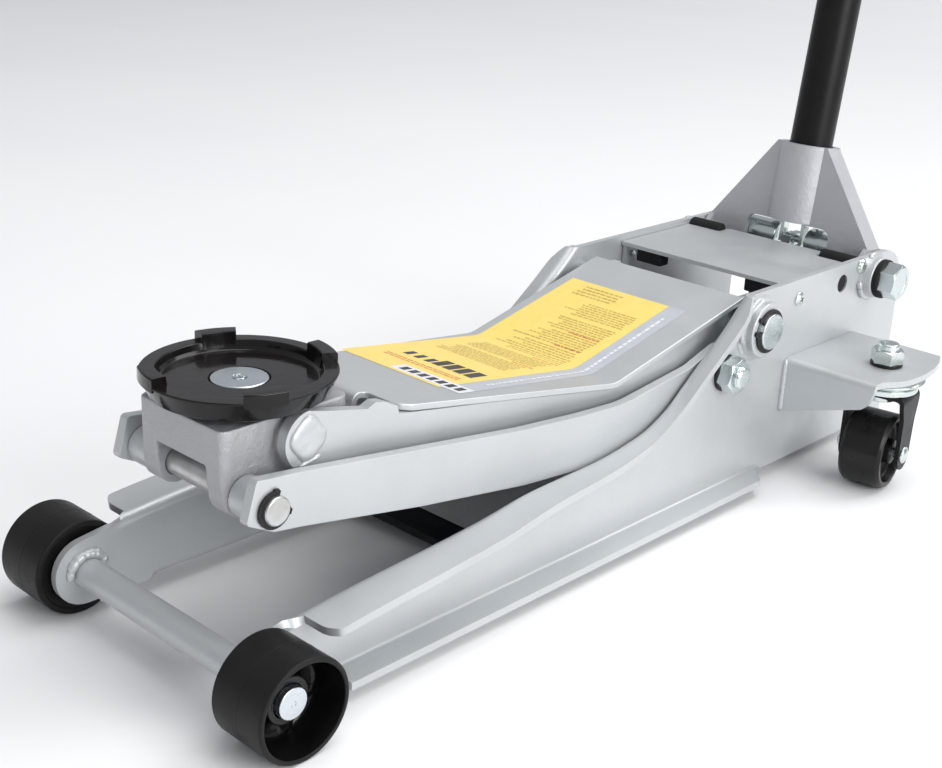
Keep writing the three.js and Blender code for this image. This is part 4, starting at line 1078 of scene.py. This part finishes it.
# ---------------------------------------------------------------- hydraulic unit
def hydraulic_unit():
    wide = 76.85
    block = carved(box(-wide, wide, 596.4, 640, 40, 64), join=[box(-46, 46, 596.5, 646, 40.2, 86)])
    pumps = [(sign * PUMP_X, PUMP_Y) for _, sign in SIDES]
    boolean(block, "UNION", [rod("Z", 10.4, 80, 100, at, 1.2) for at in pumps])
    boolean(block, "DIFFERENCE", [rod("Z", 6.3, 46, 120, at) for at in pumps])
    boolean(block, "DIFFERENCE", [rod("Z", 11.3, 69, 120, (0, VALVE_Y))])
    stand_in("hydraulic_block", block, "chassis", CAST, edge=1.2)
    profile = [(12.3, 591), (12.3, 508, 0.8), (26, 508, 2), (30, 514, 2), (30, 596), (0, 596), (0, 591)]
    tank = turned("Y", profile, (0, RAM_Z), 96, steps=4)
    stand_in("hydraulic_cylinder", tank, "chassis", SILVER)
    y = 476.1
    wedge = [(y - 30, 50), (y + 13, 50), (y + 13, 74), (y + 29, 96), (y + 29, 110), (y - 30, 110)]
    ram = carved(box(-30, 30, y - 19, y + 19, 60, 94), join=[rod("Y", 12, y + 18, 578, (0, RAM_Z), 1)],
                 cut=[prism("X", wedge, -10.4, 10.4), box(-40, 40, y - 8.4, y + 8.4, 64.8, 110)])
    stand_in("ram", ram, "ram", STEEL, edge=0.6)
    plunger = [(0, 74), (5, 74), (6, 76, 0.6), (6, 129.3), (10, 129.3, 0.8), (10, 133.3, 1.4), (0, 133.3)]
    plunger = turned("Z", plunger, (PUMP_X, PUMP_Y), 48)
    pair("pump_plunger", plunger, ZINC, body="plunger_{}")
    cup = [(0, 72), (11, 72), (11, 106, 1), (8.6, 106, 0.8), (8.6, 77), (0, 77)]
    stand_in("release_valve", turned("Z", cup, (0, VALVE_Y), 64), "release_valve", ZINC)


# ---------------------------------------------------------------- yoke and handle, in a leaning frame
YOKE_PLACE = Matrix.Translation((0, *HANDLE_BOLT)) @ Matrix.Rotation(math.radians(-LEAN), 4, "X")


def yoke():
    web_y, t, half, half_top, foot, shoulder, depth, top = 3.3, 5.0, 76.0, 23.0, 8.0, 17.0, 20.0, 90.0
    web = [(-half, foot), (half, foot), (half, shoulder), (half_top, top), (-half_top, top), (-half, shoulder)]
    slot = fillet([(-39, 0), (39, 0), (39, 26, 7), (-39, 26, 7)], steps=6)
    wing = [(half - t, foot), (half, foot), (half, shoulder, 2), (half_top, top), (half_top - t - 1, top),
            (half - t, shoulder - 1.5)]
    ear = arc(0, 0, 12.5, 100, 290, 20) + [(22, -6)] + arc(24, 6, 9, -70, 40, 8)
    ear += [(web_y + depth, shoulder + 2), (web_y, shoulder + 2)]
    wing = prism("Y", fillet(wing), web_y, web_y + depth)
    ear = prism("X", fillet(ear), half - t, half)
    body = new_object(prism("Y", web, web_y, web_y + t))
    boolean(body, "DIFFERENCE", [prism("Y", slot, 0, 30)])
    boolean(body, "UNION", [wing, mirrored(wing), ear, mirrored(ear),
                            rod("Z", 24, 27, top, (0, SOCKET_Y), segments=96)])
    holes = [rod("Z", 18.4, 0, top + 20, (0, SOCKET_Y), segments=96), rod("X", 8.4, 50, 90), rod("X", 8.4, -90, -50)]
    boolean(body, "DIFFERENCE", holes)
    body.data.transform(frame_matrix(YOKE_PLACE))
    stand_in("handle_yoke", body, "yoke", YOKE_CAST, edge=1.0, segments=3)

    roller = [(0, 14), (12, 14, 1.4), (12, 46, 1.4), (6, 46), (6, 76.6, 0.8), (0, 76.6)]
    for side, sign in SIDES:
        shell = turned("X", roller, (21, 11), 64)
        shell = moved(shell if sign > 0 else mirrored(shell), YOKE_PLACE)
        stand_in(f"pump_roller_{side}", shell, "yoke", ZINC)


def frame_matrix(place):
    """A placement in millimetres, turned into one for meshes already in the frame's metres."""
    shift = Matrix.Translation((0, AXLE_Y * MM, 0))
    metres = Matrix(place)
    metres.translation = metres.translation * MM
    return shift @ metres @ shift.inverted()


def joint_fork(flip):
    prong = box(8, 11, -4, 4, -4, 14)
    plate = rod("Z", 9.6, 13, 15.6, (0, 0), 0.5, 48)
    turn = Matrix.Identity(4)
    if flip:
        turn = Matrix.Rotation(math.pi, 4, "X") @ Matrix.Rotation(math.pi / 2, 4, "Z")
    return [moved(shell, turn) for shell in (plate, prong, mirrored(prong))]


def universal_joint():
    place = YOKE_PLACE @ Matrix.Translation((0, SOCKET_Y, JOINT_Z))
    cap = [(0, 15), (9.6, 15), (9.6, 16.6), (16.6, 16.6, 0.6), (16.6, 19.1), (14.8, 19.1), (14.8, 44, 1), (0, 44)]
    cap = turned("Z", cap, segments=64)
    plate, *prongs = joint_fork(False)
    upper = carved(moved(cap, place), join=[moved(s, place) for s in (plate, *prongs)])
    stand_in("handle_drive", upper, "handle", ZINC, edge=0.4)

    lean = math.radians(LEAN)
    centre_z = HANDLE_BOLT[1] - SOCKET_Y * math.sin(lean) + JOINT_Z * math.cos(lean)
    place = Matrix.Translation((0, VALVE_Y, centre_z))
    plate, *prongs = joint_fork(True)
    lower = carved(moved(rod("Z", 5, -46, -13.4, (0, 0), 0.8), place),
                   join=[moved(s, place) for s in (plate, *prongs)])
    boolean(lower, "UNION", [moved(s, place) for s in (rod("X", 3.2, -6.8, 6.8, (0, 0), 0.5, 32),
                                                       rod("Y", 3.2, -9, 9, (0, 0), 0.5, 32),
                                                       box(-4.6, 4.6, -4.6, 4.6, -4.6, 4.6))])
    stand_in("drive_shaft", lower, "drive_shaft", ZINC, edge=0.4)


def handle():
    r, bore, low, join, top = 17.25, 15.2, 31.5, 530.0, 1002.0
    at = (0, SOCKET_Y)
    lower = [(bore, low), (r, low, 0.4), (r, join, 0.6), (bore, join)]
    lower = moved(turned("Z", lower, at, 96), YOKE_PLACE)
    piece("handle_lower_look", lower, "handle", TUBE_BLACK, ["handle_tube_lower"])
    neck = join + 0.35
    outer = bore - 0.35
    upper = [(outer - 2.2, join - 90), (outer, join - 90, 0.4), (outer, neck), (r, neck, 0.6), (r, top),
             (r - 2.2, top), (r - 2.2, neck + 4), (outer - 2.2, neck)]
    upper = moved(turned("Z", upper, at, 96), YOKE_PLACE)
    piece("handle_upper_look", upper, "handle", TUBE_BLACK, ["handle_tube_upper"])
    inner = r + 0.35
    shape = [(0, top + 0.35), (inner, top + 0.35), (inner, top - 130), (20, top - 130, 1), (21, top - 124, 2)]
    for k in range(16):
        z = top - 118 + 7 * k
        shape += [(21, z, 0.8), (19.6, z + 0.9, 0.6), (19.6, z + 2.1, 0.6), (21, z + 3, 0.8)]
    shape += [(21, top, 3), (18.5, top + 4, 3), (0, top + 5)]
    stand_in("handle_grip", moved(turned("Z", shape, at, 96, steps=3), YOKE_PLACE), "handle", RUBBER)


# ---------------------------------------------------------------- the jack
side_plates()
axle()
front_wheels()
caster_brackets()
race_and_kingpin()
caster_units()
rear_cover()
screws_and_bumpers()
bolts()
main_pivot()
arm_cheeks()
arm_top_plate()
arm_lever()
front_pin()
radius_rods()
saddle_carrier()
lower_pin()
saddle()
decal()
hydraulic_unit()
yoke()
universal_joint()
handle()
flatten_faces()


# ---------------------------------------------------------------- stage, light and camera
def floor():
    mesh = bpy.data.meshes.new("floor")
    mesh.from_pydata([(-9, -9, 0), (9, -9, 0), (9, 12, 0), (-9, 12, 0)], [], [(0, 1, 2, 3)])
    obj = bpy.data.objects.new("floor", mesh)
    bpy.context.scene.collection.objects.link(obj)
    n = Nodes("floor_paper")
    n.link(n.blend(n.spread(n.noise(2.0, 2.0), 0.0, 1.0), (0.88, 0.88, 0.885), (0.90, 0.90, 0.90)), n.shader,
           "Base Color")
    n.set(Roughness=0.8)
    mesh.materials.append(n.material)


def softbox(name, place, aim, width, height, power):
    light = bpy.data.lights.new(name, "AREA")
    light.shape = "RECTANGLE"
    light.size, light.size_y = width, height
    light.energy = power
    obj = bpy.data.objects.new(name, light)
    obj.location = place
    obj.rotation_euler = (Vector(aim) - Vector(place)).to_track_quat("-Z", "Y").to_euler()
    bpy.context.scene.collection.objects.link(obj)


def studio():
    world = bpy.data.worlds.new("studio")
    world.use_nodes = True
    backdrop = world.node_tree.nodes["Background"]
    backdrop.inputs["Color"].default_value = (0.94, 0.96, 1.0, 1.0)
    backdrop.inputs["Strength"].default_value = 0.46
    bpy.context.scene.world = world
    softbox("top_box", (0.3, 0.2, 2.4), (0.0, 0.0, 0.1), 1.6, 1.6, 24)
    softbox("back_box", (2.0, 5.5, 6.0), (2.0, 5.5, 0.0), 5.0, 5.0, 330)
    softbox("side_box", (2.3, -0.2, 1.0), (0.0, 0.0, 0.1), 1.5, 1.3, 38)
    bpy.context.scene.view_settings.view_transform = "Standard"


def camera():
    """The camera looks from ahead and the left, a little above the jack, and is tipped slightly."""
    azimuth, height, roll = (math.radians(a) for a in (42.64, 20.78, 2.74))
    target, away = Vector((-0.05757, -0.06785, 0.080)), 1.04516
    level = math.cos(height)
    back = Vector((math.sin(azimuth) * level, -math.cos(azimuth) * level, math.sin(height)))
    lens = bpy.data.cameras.new("camera")
    lens.lens, lens.sensor_width, lens.clip_start = 55.37, 36.0, 0.01
    obj = bpy.data.objects.new("camera", lens)
    upright = back.to_track_quat("Z", "Y").to_matrix().to_4x4()
    obj.matrix_world = Matrix.Translation(target + back * away) @ upright @ Matrix.Rotation(roll, 4, "Z")
    bpy.context.scene.collection.objects.link(obj)
    bpy.context.scene.camera = obj


floor()
studio()
camera()
